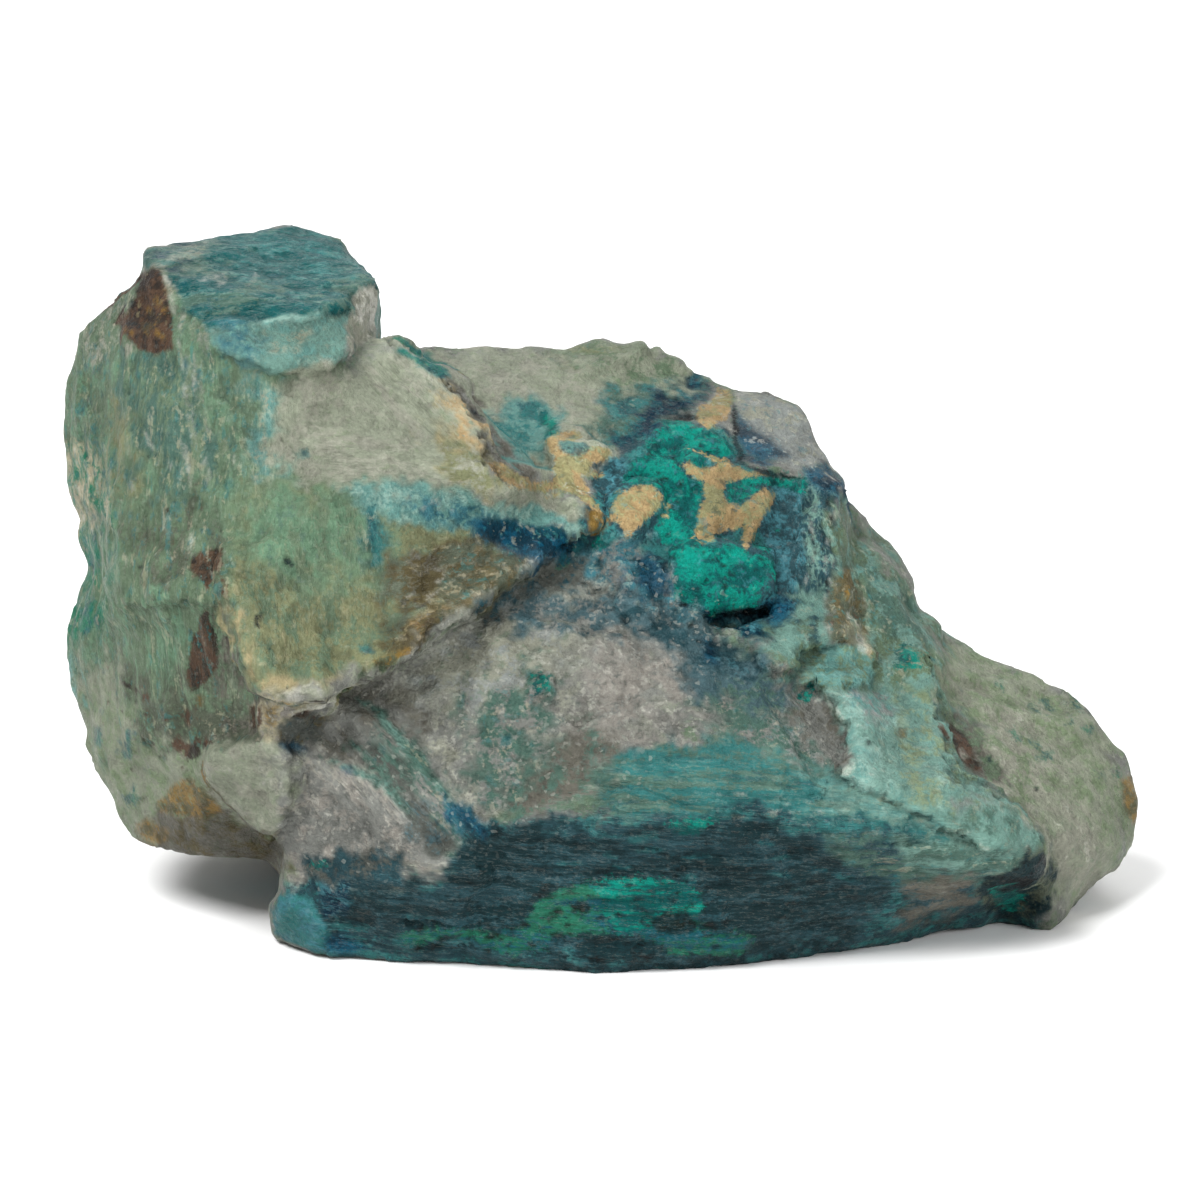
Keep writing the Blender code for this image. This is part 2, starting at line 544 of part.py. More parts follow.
def cut_base(mesh):
    """Cuts off what is under the resting plane, so that the stone stands on flat ground."""
    work = bmesh.new()
    work.from_mesh(mesh)
    everything = work.verts[:] + work.edges[:] + work.faces[:]
    bmesh.ops.bisect_plane(work, geom=everything, plane_co=(0, 0, 0), plane_no=(0, 0, 1), clear_inner=True)
    rim = [edge for edge in work.edges if edge.is_boundary]
    bmesh.ops.holes_fill(work, edges=rim)
    bmesh.ops.triangulate(work, faces=work.faces[:])
    bmesh.ops.recalc_face_normals(work, faces=work.faces[:])
    work.to_mesh(mesh)
    work.free()


def centre(mesh):
    """Moves the stone so that the middle of its plan is over the origin."""
    plan = np.array([vertex.co[:2] for vertex in mesh.vertices])
    middle = (plan.min(axis=0) + plan.max(axis=0)) / 2
    for vertex in mesh.vertices:
        vertex.co.x -= middle[0]
        vertex.co.y -= middle[1]


def stone_material():
    material = bpy.data.materials.new("chrysocolla_in_quartz")
    material.use_nodes = True
    shader = material.node_tree.nodes["Principled BSDF"]
    shader.inputs["Base Color"].default_value = (0.16, 0.28, 0.24, 1)
    shader.inputs["Roughness"].default_value = 0.5
    return material


def build_stone():
    mesh = union_of_blocks()
    sculpt(mesh)
    mesh = thin_out(mesh)
    cut_base(mesh)
    keep_largest_shell(mesh)
    centre(mesh)
    mesh.name = STONE_NAME
    stone = bpy.data.objects.new(STONE_NAME, mesh)
    stone.data.materials.append(stone_material())
    collection = bpy.data.collections.new("chrysocolla_specimen")
    bpy.context.scene.collection.children.link(collection)
    collection.objects.link(stone)


noise.seed_set(NOISE_SEED)
clear_scene()
build_stone()
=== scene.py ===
"""Looks of a chrysocolla specimen: quartz with teal veils, turquoise crusts and clay-filled seams.

Outlines and lines are given on the front drawing: twelve units to the millimetre, x to the right and
y down, as the stone is seen from the camera. Each is a text of x,y corners, as in an SVG polygon.
"""

import json
import math
import random

import bmesh
import bpy
import numpy as np
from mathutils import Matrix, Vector, noise
from mathutils.bvhtree import BVHTree

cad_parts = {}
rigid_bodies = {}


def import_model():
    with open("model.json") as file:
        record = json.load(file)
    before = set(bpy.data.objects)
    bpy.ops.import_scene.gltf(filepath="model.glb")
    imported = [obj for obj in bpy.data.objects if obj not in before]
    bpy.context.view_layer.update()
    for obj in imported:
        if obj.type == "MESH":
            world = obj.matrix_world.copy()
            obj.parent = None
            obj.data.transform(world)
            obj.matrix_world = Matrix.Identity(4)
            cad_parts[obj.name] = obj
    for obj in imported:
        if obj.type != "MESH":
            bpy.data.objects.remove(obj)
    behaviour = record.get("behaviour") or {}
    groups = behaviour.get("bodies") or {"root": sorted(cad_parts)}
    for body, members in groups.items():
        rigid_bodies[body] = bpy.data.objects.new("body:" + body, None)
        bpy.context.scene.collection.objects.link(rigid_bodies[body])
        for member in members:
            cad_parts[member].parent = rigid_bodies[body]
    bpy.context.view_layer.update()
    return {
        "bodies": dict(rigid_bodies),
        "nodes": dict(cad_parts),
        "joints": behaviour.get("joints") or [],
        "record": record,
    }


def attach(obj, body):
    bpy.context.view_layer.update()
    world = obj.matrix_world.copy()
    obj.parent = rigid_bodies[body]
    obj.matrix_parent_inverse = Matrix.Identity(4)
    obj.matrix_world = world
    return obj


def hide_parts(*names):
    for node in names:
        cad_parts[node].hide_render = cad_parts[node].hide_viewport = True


MM = 0.001
STONE = "chrysocolla_stone"

# The camera and the drawing: millimetres, but for the drawing's centre and its units to the millimetre.
VIEW_DISTANCE = 420
VIEW_TILT = math.radians(14)
VIEW_TARGET_HEIGHT = 24.6
FIELD_WIDTH = 100
SENSOR_WIDTH = 36
DRAWING_CENTRE = 600
DRAWING_SCALE = 12
MIDDLE = (0.1616, -0.3762, 0)

# The skin's mesh. Sight decides where it stays fine: how deep, in millimetres, a vertex may lie behind
# the first surface and still be seen, how squarely it has to face the camera, and how often that is blurred.
SURFACE_VOXEL = 0.34
WELD_DISTANCE = 1e-6
EASE_SHARE = 0.5
EASE_ROUNDS = 2
MOST_TRIANGLES = 196000
FRONT_SPARED = 0.97
FRONT_GAIN = 3
SIGHT_SLACK = 1.2
FULL_SIGHT = 0.2
SIGHT_BLURS = 4

# Noise that moves the drawing's features about: pairs of a period in millimetres and a reach in units.
NOISE_SEED = 11
DRIFTS = ((3.5, 10), (1.4, 9), (0.6, 7))
LEDGE_DRIFTS = ((1.3, 7), (0.5, 6))
HIDDEN_DRIFTS = ((11, 150), (4, 40))
MOST_DRIFT = 2.5
DRIFTING_EDGE = 12

# Relief: heights in millimetres, and edges and bands across a ledge in units of the drawing.
CHIP_SCATTER = 7.31
FAR_OUTSIDE = 60
# The bands across a ledge: painted shade at its foot and a painted highlight along its raised rim.
LEDGE_END = 24
PAINTED_SHADE_BAND = (-9, -1, -1, 2)
PAINTED_RIM_LIGHT_BAND = (0, 3, 3, 11)
CLAY_RISE = 0.15
CLAY_EDGE = (-5, 6)
SLOT_DEPTH = 0.7
SLOT_EDGE = (-5, 5)
# The painted relief light: raised spots lighter and low ones darker, with the ledges' steps counted at a
# share.
STEP_SHARE = 0.3
RELIEF_LIGHT_GAIN = 1.6

# Colour. Each mottle is a shift and a period in millimetres: tones, dark spots and pale spots.
DEPTH_OF_TONE = 0.62
MOTTLES = ((0, 1.6), (100, 0.75), (200, 0.9))
VEIN_CONTRAST = 0.55
VEIN_FADE = (0.36, 0.8)
DARK_FADE = (0.68, 0.86)
DARK_MOST = 0.5
PALE_FADE = (0.7, 0.9)
PALE_MOST = 0.35
STAIN_REACH = 24
STAIN_FADE = (0.3, 0.7)
EDGE_ROUGHNESS = 0.22
LEAST_WANDER = 0.15

# Strewn specks: how much their size and their tilt in degrees vary, and the shape of one.
SPECK_SEED = 5
SPECK_GROWTH = (0.4, 1.3)
SPECK_TURN = 9
LOZENGE = ((-1, 0.1), (-0.3, 1), (0.4, 0.8), (1, -0.1), (0.2, -1), (-0.5, -0.7))

# Strands, crystal chips and glints, and how much each thing lightens or shades the skin: the crests, rims,
# crusts and crevices get painted light and shade, and a few glint cells a painted glint.
STRAND_LEVEL = 0.56
STRAND_EDGE = (0.02, 0.004)
STRAND_LIGHT = 0.14
CHIPS_PER_MM = 1.3
GLINTS_PER_MM = 3.4
CHIP_LIGHT = 0.16
GRAIN_LIGHT = 0.9
CREST_LIGHT = 0.9
RIM_LIGHT = 0.08
CRUST_LIGHT = 2.2
CREVICE_SHADE = 0.38
LEAST_LIGHT = 0.1
PAINTED_GLINT_FADE = (0.94, 0.98)
DRUSE_PAINTED_GLINT = 0.2
PLAIN_PAINTED_GLINT = 0.06

# Gloss, and the finest relief: the depth in millimetres that a bump of 1 stands for.
SPECULAR = 0.1
LEAST_ROUGHNESS = 0.3
DRUSE_ROUGHNESS = -0.08
CRUST_ROUGHNESS = 0.2
GLINT_ROUGHNESS = 0.25
BUMP_DEPTH = 0.4
GRAIN_BUMP = 0.8
FINE_BUMP = 0.3
CHIP_BUMP = 0.45
GLINT_BUMP = 0.6

# The studio, in metres. Lamps: name, place, side and power in watts.
SHEET_HALF_WIDTH = 1.6
SHEET_FRONT = -2.0
SHEET_BACK = 1.2
SHEET_HEIGHT = 1.6
SHEET_BEND = 0.5
PAPER = (0.93, 0.93, 0.93, 1)
PAPER_SHADE = (0.86, 0.86, 0.86, 1)
AIR_STRENGTH = 0.38
LAMPS = (
    ("key", (-0.55, -0.6, 1.1), 0.6, 22),
    ("fill", (0.8, -0.8, 0.5), 0.9, 8),
    ("back_light", (0.1, 0.7, 0.8), 0.6, 4),
)

MINERALS = {
    "sage": (102, 123, 98),
    "mint_sage": (106, 140, 112),
    "pale_sage": (148, 155, 135),
    "lichen": (126, 143, 112),
    "teal_sage": (80, 112, 100),
    "dusk_sage": (88, 96, 80),
    "cream": (184, 178, 150),
    "beige": (156, 158, 142),
    "khaki": (128, 132, 98),
    "straw": (170, 158, 120),
    "umber": (92, 84, 58),
    "peach": (184, 158, 116),
    "aqua": (104, 152, 144),
    "sea_glass": (112, 150, 138),
    "pale_aqua": (144, 180, 168),
    "teal": (52, 118, 116),
    "cap_teal": (12, 86, 86),
    "deep_teal": (12, 82, 92),
    "slate": (40, 73, 80),
    "dark_slate": (20, 48, 52),
    "ink_blue": (4, 46, 64),
    "blue": (6, 80, 106),
    "azure": (66, 122, 132),
    "steel": (76, 104, 110),
    "grey": (132, 134, 128),
    "dark_grey": (88, 92, 86),
    "ash": (106, 104, 94),
    "pink_quartz": (156, 152, 143),
    "mauve": (146, 152, 148),
    "turquoise": (0, 138, 121),
    "deep_turquoise": (0, 78, 76),
    "leaf": (42, 122, 94),
    "clay": (176, 150, 106),
    "dry_clay": (150, 145, 102),
    "tan": (140, 116, 76),
    "rust": (92, 70, 55),
    "dark_rust": (48, 39, 34),
    "ochre": (150, 116, 46),
    "black_and_shade": (18, 22, 22),
    "chalk": (206, 206, 194),
}

# Dark and pale flecks of each mineral; the rest have teal and cream ones.
FLECKS = {
    "teal": ("deep_teal", "aqua"),
    "cap_teal": ("deep_teal", "aqua"),
    "pale_sage": ("lichen", "beige"),
    "mint_sage": ("teal_sage", "lichen"),
    "grey": ("dark_grey", "chalk"),
    "dark_grey": ("slate", "grey"),
    "pink_quartz": ("dark_grey", "chalk"),
    "umber": ("dark_rust", "straw"),
    "khaki": ("sage", "straw"),
    "straw": ("khaki", "cream"),
    "slate": ("dark_slate", "azure"),
    "steel": ("slate", "mauve"),
    "dark_slate": ("black_and_shade", "slate"),
    "ink_blue": ("dark_slate", "azure"),
    "mauve": ("azure", "chalk"),
    "pale_aqua": ("aqua", "chalk"),
    "aqua": ("teal", "pale_aqua"),
    "sea_glass": ("aqua", "pale_sage"),
    "azure": ("blue", "pale_aqua"),
    "ash": ("dusk_sage", "grey"),
    "beige": ("sage", "chalk"),
    "cream": ("khaki", "chalk"),
}

# Mineral, vein running through it, width of the soft edge, and outline.
PAINT = [
    ("grey", "sage", 60, "0,0 1200,0 1200,1200 0,1200"),
    # column and the rounded lobe below it
    ("sage", "mint_sage", 40, "30,270 330,300 340,480 300,620 262,690 290,860 40,880"),
    ("teal_sage", "sage", 36, "125,350 215,340 225,470 180,500 130,470"),
    ("aqua", "pale_sage", 36, "250,380 286,376 290,440 276,500 252,490"),
    ("sage", "dusk_sage", 30, "126,490 226,500 226,590 126,596"),
    ("khaki", "sage", 16, "112,400 126,396 130,450 124,500 112,480"),
    ("cream", "leaf", 12, "60,440 90,446 108,470 106,520 92,560 76,530 68,500"),
    ("leaf", "sage", 18, "84,524 104,520 106,600 92,640 70,650 72,600"),
    ("sage", "mint_sage", 16, "132,584 190,588 216,596 210,610 140,610"),
    ("sage", "aqua", 24, "40,660 100,660 116,760 60,760"),
    ("pale_sage", "lichen", 30, "90,660 190,690 290,700 290,870 110,870 70,740"),
    ("ash", "sage", 8, "214,608 226,612 250,688 262,700 240,712 222,700 216,660"),
    ("ash", "umber", 16, "150,816 210,804 240,826 280,836 280,870 140,870"),
    ("pale_sage", "beige", 8,
     "200,770 206,740 230,732 270,738 292,752 290,800 276,836 250,828 228,812 206,790"),
    ("cream", "pink_quartz", 8, "262,690 294,686 332,690 316,708 294,718 280,742 262,742 246,724 250,704"),
    # lump left of the cap, and the cap with its iron-stained side
    ("sage", "beige", 14, "80,300 110,290 136,296 130,350 86,360"),
    ("cap_teal", "teal_sage", 5,
     "139,252 150,240 174,240 298,224 342,236 352,256 382,282 352,298 344,312 314,320 256,328 206,330 "
     "186,310 174,284 164,268"),
    ("cap_teal", "teal", 24, "220,246 300,230 340,246 352,268 300,290 240,276"),
    ("teal_sage", "slate", 14, "144,244 200,238 214,248 172,274 150,262"),
    ("pale_aqua", "aqua", 6,
     "240,334 250,322 262,324 278,314 292,318 318,312 330,316 306,325 290,322 276,331 262,327 252,335"),
    ("sea_glass", "aqua", 5,
     "206,330 250,328 314,320 346,312 350,330 346,352 325,374 268,372 240,366 214,344"),
    ("azure", "aqua", 16, "220,330 242,332 256,342 246,362 230,350"),
    ("sea_glass", "pale_sage", 10, "262,338 300,328 318,336 300,350 270,352"),
    ("beige", "chalk", 4, "350,304 358,294 382,282 386,300 378,334 352,348 344,326"),
    ("umber", "ash", 6, "143,272 160,268 174,318 173,348 153,355 136,348 117,323 130,310"),
    # shoulder
    ("pale_sage", "beige", 22,
     "284,386 330,372 380,340 404,352 436,376 464,404 488,464 500,486 400,486 320,490 276,460"),
    ("straw", "beige", 30, "440,384 464,402 500,488 456,480 440,430"),
    ("peach", "straw", 14, "444,386 464,402 480,436 488,466 506,488 480,478 460,440"),
    # the leaf-like flap
    ("khaki", "sage", 20,
     "232,480 330,488 470,490 500,540 480,590 440,612 400,656 340,684 300,692 262,688 236,620"),
    ("mint_sage", "sage", 36, "236,490 376,494 380,560 320,580 240,560"),
    ("teal_sage", "teal", 14, "364,492 382,496 382,560 372,566 362,540"),
    ("straw", "khaki", 8,
     "226,604 236,606 246,640 264,674 310,682 344,676 336,690 300,692 262,688 244,656"),
    ("umber", "dusk_sage", 24, "384,570 420,540 470,540 520,556 498,584 422,620 412,648 390,640 376,600"),
    ("umber", "ash", 16, "416,550 480,542 510,564 460,596 420,606"),
    ("umber", "tan", 6, "402,648 410,622 440,606 500,584 492,594 454,614 430,630 414,656"),
    ("teal_sage", "umber", 12, "472,552 520,556 556,552 520,576 492,592 476,576"),
    ("aqua", "pale_aqua", 12,
     "324,487 400,484 452,490 500,502 560,512 588,524 540,530 480,520 430,528 376,512"),
    ("azure", "aqua", 12, "400,500 470,506 500,512 480,524 430,520"),
    ("pale_sage", "beige", 8, "500,476 530,488 570,492 586,506 584,520 500,500"),
    # ridge behind
    ("pale_sage", "beige", 16,
     "386,336 420,346 480,352 560,350 600,330 650,340 690,372 700,384 640,400 590,470 540,470 500,440 "
     "480,440 440,376"),
    ("sage", "khaki", 14, "560,350 594,334 640,342 680,370 660,384 600,380"),
    ("teal", "leaf", 6, "380,332 404,340 446,366 452,380 430,374 404,354"),
    ("ash", "grey", 6, "440,376 466,386 486,410 500,440 540,470 530,482 500,470 484,452 480,430 464,400"),
    ("aqua", "teal", 16, "490,404 530,396 560,410 560,440 520,456 496,440"),
    ("teal_sage", "teal", 20, "600,386 650,384 700,388 700,410 650,440 610,450"),
    ("ink_blue", "deep_teal", 18, "650,404 690,388 712,388 700,410 654,432 624,480 606,470 630,430"),
    # the mineral knot in the middle
    ("slate", "teal", 10,
     "594,470 626,450 656,426 720,424 760,470 806,484 826,520 800,610 760,640 690,620 660,640 600,600 "
     "560,560 576,530"),
    ("azure", "grey", 18, "560,548 640,540 690,590 700,640 640,640 572,584"),
    ("slate", "azure", 8, "600,456 622,460 622,496 606,500 598,480"),
    ("slate", "azure", 8, "764,490 804,490 812,530 800,590 776,600 774,560 760,548"),
    ("slate", "sea_glass", 6, "802,466 840,490 842,560 820,600 800,590 806,530"),
    ("sea_glass", "slate", 8, "776,600 800,586 822,590 828,646 800,648 792,674 766,670 752,660 766,640"),
    ("ink_blue", "azure", 10, "696,604 712,606 760,606 780,594 798,600 790,616 766,630 730,628 704,620"),
    ("mauve", "beige", 6, "736,388 790,392 808,400 812,424 826,462 800,468 764,458 738,420"),
    # grey quartz face
    ("grey", "beige", 26,
     "300,694 400,662 460,616 556,556 600,590 660,630 716,650 700,700 620,780 500,816 450,860 290,900 "
     "280,760"),
    # Just under the left end of the flap's edge the face is darker: partly its own grey, partly painted
    # shadow of the flap.
    ("ash", "grey", 16, "300,730 340,694 380,672 420,700 430,720 420,760 340,770"),
    ("beige", "mauve", 50, "410,690 460,626 556,568 600,600 560,670 480,730"),
    ("ash", "teal_sage", 40, "470,770 590,730 640,780 520,826"),
    ("grey", "ash", 24, "300,730 340,700 390,690 420,750 350,766"),
    # The pale pink patch is partly the quartz's own pinkish tint and partly a painted highlight where the
    # face catches the key light.
    ("pink_quartz", "grey", 50, "596,650 650,620 690,640 690,700 600,750 584,700"),
    ("grey", "pink_quartz", 24, "300,776 376,782 440,862 390,876 350,860 310,886 280,890 280,830"),
    ("teal_sage", "grey", 24, "376,716 400,728 480,836 450,850 386,772"),
    # light edges of the two cracks that cross it
    ("teal_sage", "sea_glass", 5, "356,698 384,710 452,792 478,830 470,830 422,768 376,716"),
    ("teal_sage", "sea_glass", 5, "318,756 354,767 388,783 414,812 442,850 434,850 382,790"),
    ("azure", "blue", 10, "446,794 470,812 500,830 496,846 466,842 448,820"),
    ("teal_sage", "grey", 30, "470,700 520,670 560,680 560,760 500,800 470,780"),
    # right slope and the pale plates
    ("sea_glass", "sage", 30, "700,640 820,640 940,700 1000,800 900,820 720,780"),
    ("sage", "sea_glass", 24, "838,500 880,540 912,580 950,640 960,700 900,700 850,660 826,600"),
    ("teal_sage", "sea_glass", 24, "850,570 880,560 920,610 930,640 890,640"),
    ("pale_sage", "lichen", 24,
     "950,640 1010,660 1090,710 1130,780 1140,840 1090,900 1040,900 1040,840 980,740 940,690"),
    ("beige", "lichen", 40, "960,690 1040,720 1064,800 1010,804"),
    ("beige", "pale_sage", 10, "1042,810 1080,800 1104,850 1086,890 1060,880"),
    ("ash", "sage", 12, "934,716 960,716 984,740 1010,790 980,790 950,750"),
    ("dusk_sage", "umber", 8, "826,572 852,568 872,640 850,644 828,640"),
    ("teal_sage", "grey", 24, "700,640 760,660 800,680 780,740 740,760 700,720"),
    ("grey", "ash", 4, "770,680 820,688 834,716 850,732 852,750 840,768 812,764 790,740 776,710"),
    ("sea_glass", "pale_aqua", 4,
     "822,690 900,694 936,708 950,790 950,832 866,788 830,772 850,752 846,730"),
    ("pale_aqua", "aqua", 12, "826,696 840,706 858,740 880,776 870,788 832,772 850,752 846,730"),
    ("teal_sage", "mauve", 14, "774,716 806,732 830,766 800,772 780,748"),
    ("sea_glass", "lichen", 30, "900,694 936,708 950,790 950,832 906,806 890,740"),
    ("mauve", "aqua", 16, "846,690 884,690 894,712 864,722"),
    ("aqua", "sage", 4, "812,650 838,644 862,644 874,662 872,678 856,690 830,690 812,684"),
    # prow, and the dark band under it
    ("teal", "teal_sage", 16,
     "600,774 660,740 740,744 830,772 900,800 990,842 1040,850 1000,870 760,820 640,820 590,810"),
    ("aqua", "sea_glass", 20, "800,766 860,780 960,826 980,840 900,826 820,800"),
    ("sea_glass", "teal_sage", 12, "940,820 1000,800 1044,840 1030,862 960,860"),
    # The dark band is partly the stone's own dark slate and partly painted shade on the underside, which
    # faces down.
    ("slate", "teal", 14,
     "460,830 540,820 640,816 760,806 880,822 960,856 1000,870 1050,930 880,960 600,1000 300,970 260,900 "
     "350,866 400,880 450,866"),
    ("dark_slate", "slate", 22, "480,836 780,824 880,860 890,930 800,960 640,980 330,920 360,880 440,876"),
    ("teal_sage", "slate", 14, "830,830 1010,862 960,890 860,880"),
    ("ash", "slate", 16, "910,880 960,872 990,890 950,920 900,920"),
    ("dark_slate", "dusk_sage", 8, "980,880 1044,848 1062,880 1050,912 1010,920 980,906"),
    ("teal", "azure", 5, "270,896 290,892 312,900 330,926 330,950 296,950 270,930"),
    ("ink_blue", "azure", 8, "310,870 330,862 356,872 352,912 330,914"),
    # darker patches in hollows and paler ones on rises, over all of these; the slate patch below the nub and
    # the dark grey one under the flap's edge are painted shadow
    ("steel", "slate", 20, "600,600 650,596 700,620 740,650 720,700 690,690 660,650 610,636"),
    # painted shadow below the nub
    ("slate", "steel", 14, "706,632 740,640 768,664 766,690 730,690 712,664"),
    ("steel", "grey", 20, "520,596 560,590 610,600 610,636 560,630 520,632"),
    # painted shadow under the right end of the flap's edge
    ("dark_grey", "slate", 10, "474,606 566,552 590,556 584,580 550,592 484,620"),
    ("slate", "dark_grey", 12, "306,860 330,850 380,850 404,862 400,886 310,884"),
    ("dark_grey", "steel", 12, "396,800 430,806 450,840 430,856 404,838"),
    ("dusk_sage", "sage", 24, "116,660 200,664 240,690 250,736 200,748 130,736"),
    ("dusk_sage", "ash", 8, "204,716 240,710 268,742 250,744 226,736 206,746"),
    ("steel", "teal_sage", 14, "722,680 760,676 796,690 796,716 740,716"),
    ("dusk_sage", "umber", 14, "440,560 470,544 520,552 516,580 484,602 444,612"),
    ("khaki", "beige", 14, "440,436 480,446 504,476 500,492 450,484"),
    ("teal_sage", "sea_glass", 10, "896,838 950,846 1000,850 1030,856 1000,872 950,876 910,868"),
    ("pale_sage", "sage", 14, "570,352 620,342 680,354 696,378 650,388 600,380"),
    ("dark_grey", "umber", 8, "276,720 326,712 326,738 296,752 276,746"),
    ("dark_grey", "teal_sage", 14, "346,738 384,742 416,782 404,800 372,782"),
    ("deep_teal", "ink_blue", 8, "480,520 512,518 584,538 566,552 530,550 480,532"),
]

# Stains with a ragged edge, by kind.
STAINS = {
    "clay": [
        ("488,462 505,463 524,476 540,482 553,480 555,458 546,446 546,438 556,432 578,430 584,438 "
         "572,440 560,440 558,448 566,454 578,453 588,446 610,444 608,458 594,464 580,476 598,504 "
         "603,515 578,494 560,489 540,491 520,489 505,482"),
        "612,504 626,491 640,484 656,486 663,496 660,508 646,520 626,542 622,528 612,518",
        ("681,464 691,461 702,468 735,464 744,470 774,475 724,482 722,494 728,502 742,504 764,488 "
         "776,494 771,508 758,528 746,552 741,540 744,526 731,529 703,546 696,534 698,512 704,496 "
         "702,482 690,474"),
        "695,420 700,406 712,401 718,388 731,388 733,400 728,418 718,422 706,429",
    ],
    "turquoise": [
        ("656,430 670,424 718,432 733,454 728,464 712,464 700,466 692,458 680,462 690,474 702,484 "
         "695,530 700,548 722,546 768,556 772,576 760,608 722,611 698,606 677,596 676,560 664,540 "
         "652,534 664,508 664,490 652,482 636,484 622,480 628,470 640,458"),
        "726,482 742,482 758,478 782,476 804,478 806,490 798,496 782,490 764,486 750,496 738,502 728,498",
        "594,536 604,535 608,544 600,550 593,546",
        "538,412 546,410 562,432 552,434 542,426",
        "799,692 812,684 818,688 816,696 810,702 802,700",
        "532,678 540,672 552,680 550,692 540,696 534,690",
        "590,880 640,878 690,880 702,892 704,908 694,920 640,932 612,930",
        "670,822 690,816 718,820 700,832 676,838",
        "994,892 1008,888 1022,892 1020,908 1002,908",
        "314,864 324,860 328,866 318,872",
        "896,650 910,646 922,656 918,668 904,671 895,662",
    ],
    "mint": [
        "538,904 554,892 574,881 600,879 614,900 612,930 574,934 540,940 520,934",
        "398,942 402,934 450,927 498,934 530,926 560,934 540,948 506,956 486,944 466,938 434,938 410,945",
        "640,930 694,920 710,932 734,932 750,940 742,950 718,952 694,950 682,956 664,948 640,940",
        "90,530 98,528 102,546 100,566 90,572 88,552",
        "102,452 112,456 114,470 106,474",
        "560,560 566,554 570,562 562,566",
        "84,606 94,602 96,624 86,634",
        "122,796 134,790 140,800 128,806",
        "402,342 412,346 420,358 412,360 402,352",
    ],
    "iron": [
        "143,272 160,268 166,286 174,318 173,348 153,355 136,348 117,323 130,310 137,286",
        "190,560 202,550 222,548 222,568 214,588 208,592 198,576 190,572",
        "221,576 226,578 230,596 224,598",
        "190,647 203,612 208,608 216,626 218,668 207,681 192,693 188,680",
        "170,744 178,734 186,744 200,740 200,756 188,762",
        "203,738 212,742 210,750 203,748",
        "119,681 130,682 138,690 126,689",
        "142,694 148,695 148,702 142,701",
        "184,708 190,710 190,726 185,724",
        "938,726 954,724 968,738 972,752 984,772 974,772 956,760 944,744",
        "249,708 260,704 262,724 252,730",
        "291,712 304,708 310,714 300,720",
    ],
    "ochre": [
        "136,824 148,818 170,832 166,840 150,842 139,836",
        "158,804 174,784 190,778 218,800 222,812 206,818 162,812",
        "374,660 408,648 412,654 404,662 386,666 376,664",
        "842,574 854,574 854,590 846,600",
        "864,626 870,644 873,660 867,654",
        "1120,780 1130,776 1138,796 1136,824 1124,812",
        "898,728 906,730 904,738 898,736",
        "197,696 204,694 204,704 198,706",
        "586,510 600,508 610,518 604,532 590,530",
        "264,708 274,706 276,724 266,726",
    ],
    # Black marks: the first is the slot in the knot, painted near black as shade inside it; the rest are
    # dark specks and thin dark cracks.
    "black_and_shade": [
        "714,611 728,608 758,609 768,604 766,614 748,620 728,620",
        "676,600 688,602 690,608 680,607",
        "740,463 804,479 790,480 764,476",
        "733,404 738,412 738,440 748,464 740,462 733,444",
        "666,420 690,414 698,419 690,423 674,424",
        "984,884 1044,852 1054,872 1020,892 996,892",
        "570,902 584,899 594,906 586,913 572,910",
        "650,920 664,912 684,912 698,922 694,932 676,936 656,932",
        "574,944 600,936 640,940 662,950 650,964 600,962 572,956",
        "284,558 292,559 294,566 286,564",
        "255,616 261,614 260,628 255,627",
        "470,408 476,408 477,414 471,413",
        "866,740 870,740 870,744 866,744",
        "276,274 280,274 280,278 276,278",
        "988,756 992,756 991,762 988,762",
        "1034,786 1038,786 1038,790 1034,790",
    ],
    "blue": [
        "470,518 490,517 512,522 550,533 580,532 568,556 534,563 474,538",
        "634,560 650,552 668,570 670,592 650,600 638,584",
        "736,410 748,424 770,438 794,458 764,464 744,454 735,438",
        "802,468 826,462 842,484 838,498 806,484",
        "764,604 778,596 790,604 786,620 768,622",
        "280,744 294,742 308,748 306,753 290,752",
        "342,768 350,768 354,774 346,774",
        "322,934 344,934 366,948 350,955 326,952",
        "452,800 490,832 484,840 462,828",
        "702,640 716,640 720,664 706,660",
    ],
    "chalk": [
        "842,632 848,626 860,626 868,640 870,656 860,652 854,644 844,640",
        "276,694 294,689 314,688 326,692 322,700 306,708 292,712 280,704",
        "722,628 732,624 740,630 736,638 724,636",
        "822,692 830,698 840,712 848,730 836,722 828,708",
        "957,750 965,752 968,760 960,760",
        "832,770 850,756 856,768 846,776",
        "160,266 166,272 174,296 178,316 172,310",
    ],
    "teal": [
        "558,441 572,437 588,441 592,450 577,458 562,452",
        "358,646 370,644 375,652 362,654",
        "121,730 129,729 131,758 124,760",
        "94,728 101,727 102,748 95,746",
        "299,448 307,448 308,457 301,456",
        "500,736 511,735 510,747 502,749",
        "366,505 376,505 380,540 376,560 370,540",
        "516,404 536,402 548,412 540,424 524,418",
        "422,364 436,366 446,376 432,376",
        "606,408 630,396 650,400 636,414 612,420",
    ],
}

# How each stain looks: its strongest share, its two tones, and the softness of its edge. Later ones cover.
STAIN_TONES = {
    "blue": (0.9, "ink_blue", "blue", 0.14),
    "mint": (0.75, "leaf", "deep_teal", 0.08),
    "turquoise": (0.95, "turquoise", "deep_turquoise", 0.06),
    "iron": (0.95, "rust", "dark_rust", 0.05),
    "ochre": (0.8, "ochre", "umber", 0.08),
    "chalk": (0.5, "chalk", "pale_sage", 0.06),
    "clay": (0.92, "clay", "dry_clay", 0.04),
    "teal": (0.75, "deep_teal", "teal", 0.06),
    "black_and_shade": (0.95, "black_and_shade", "dark_slate", 0.05),
}

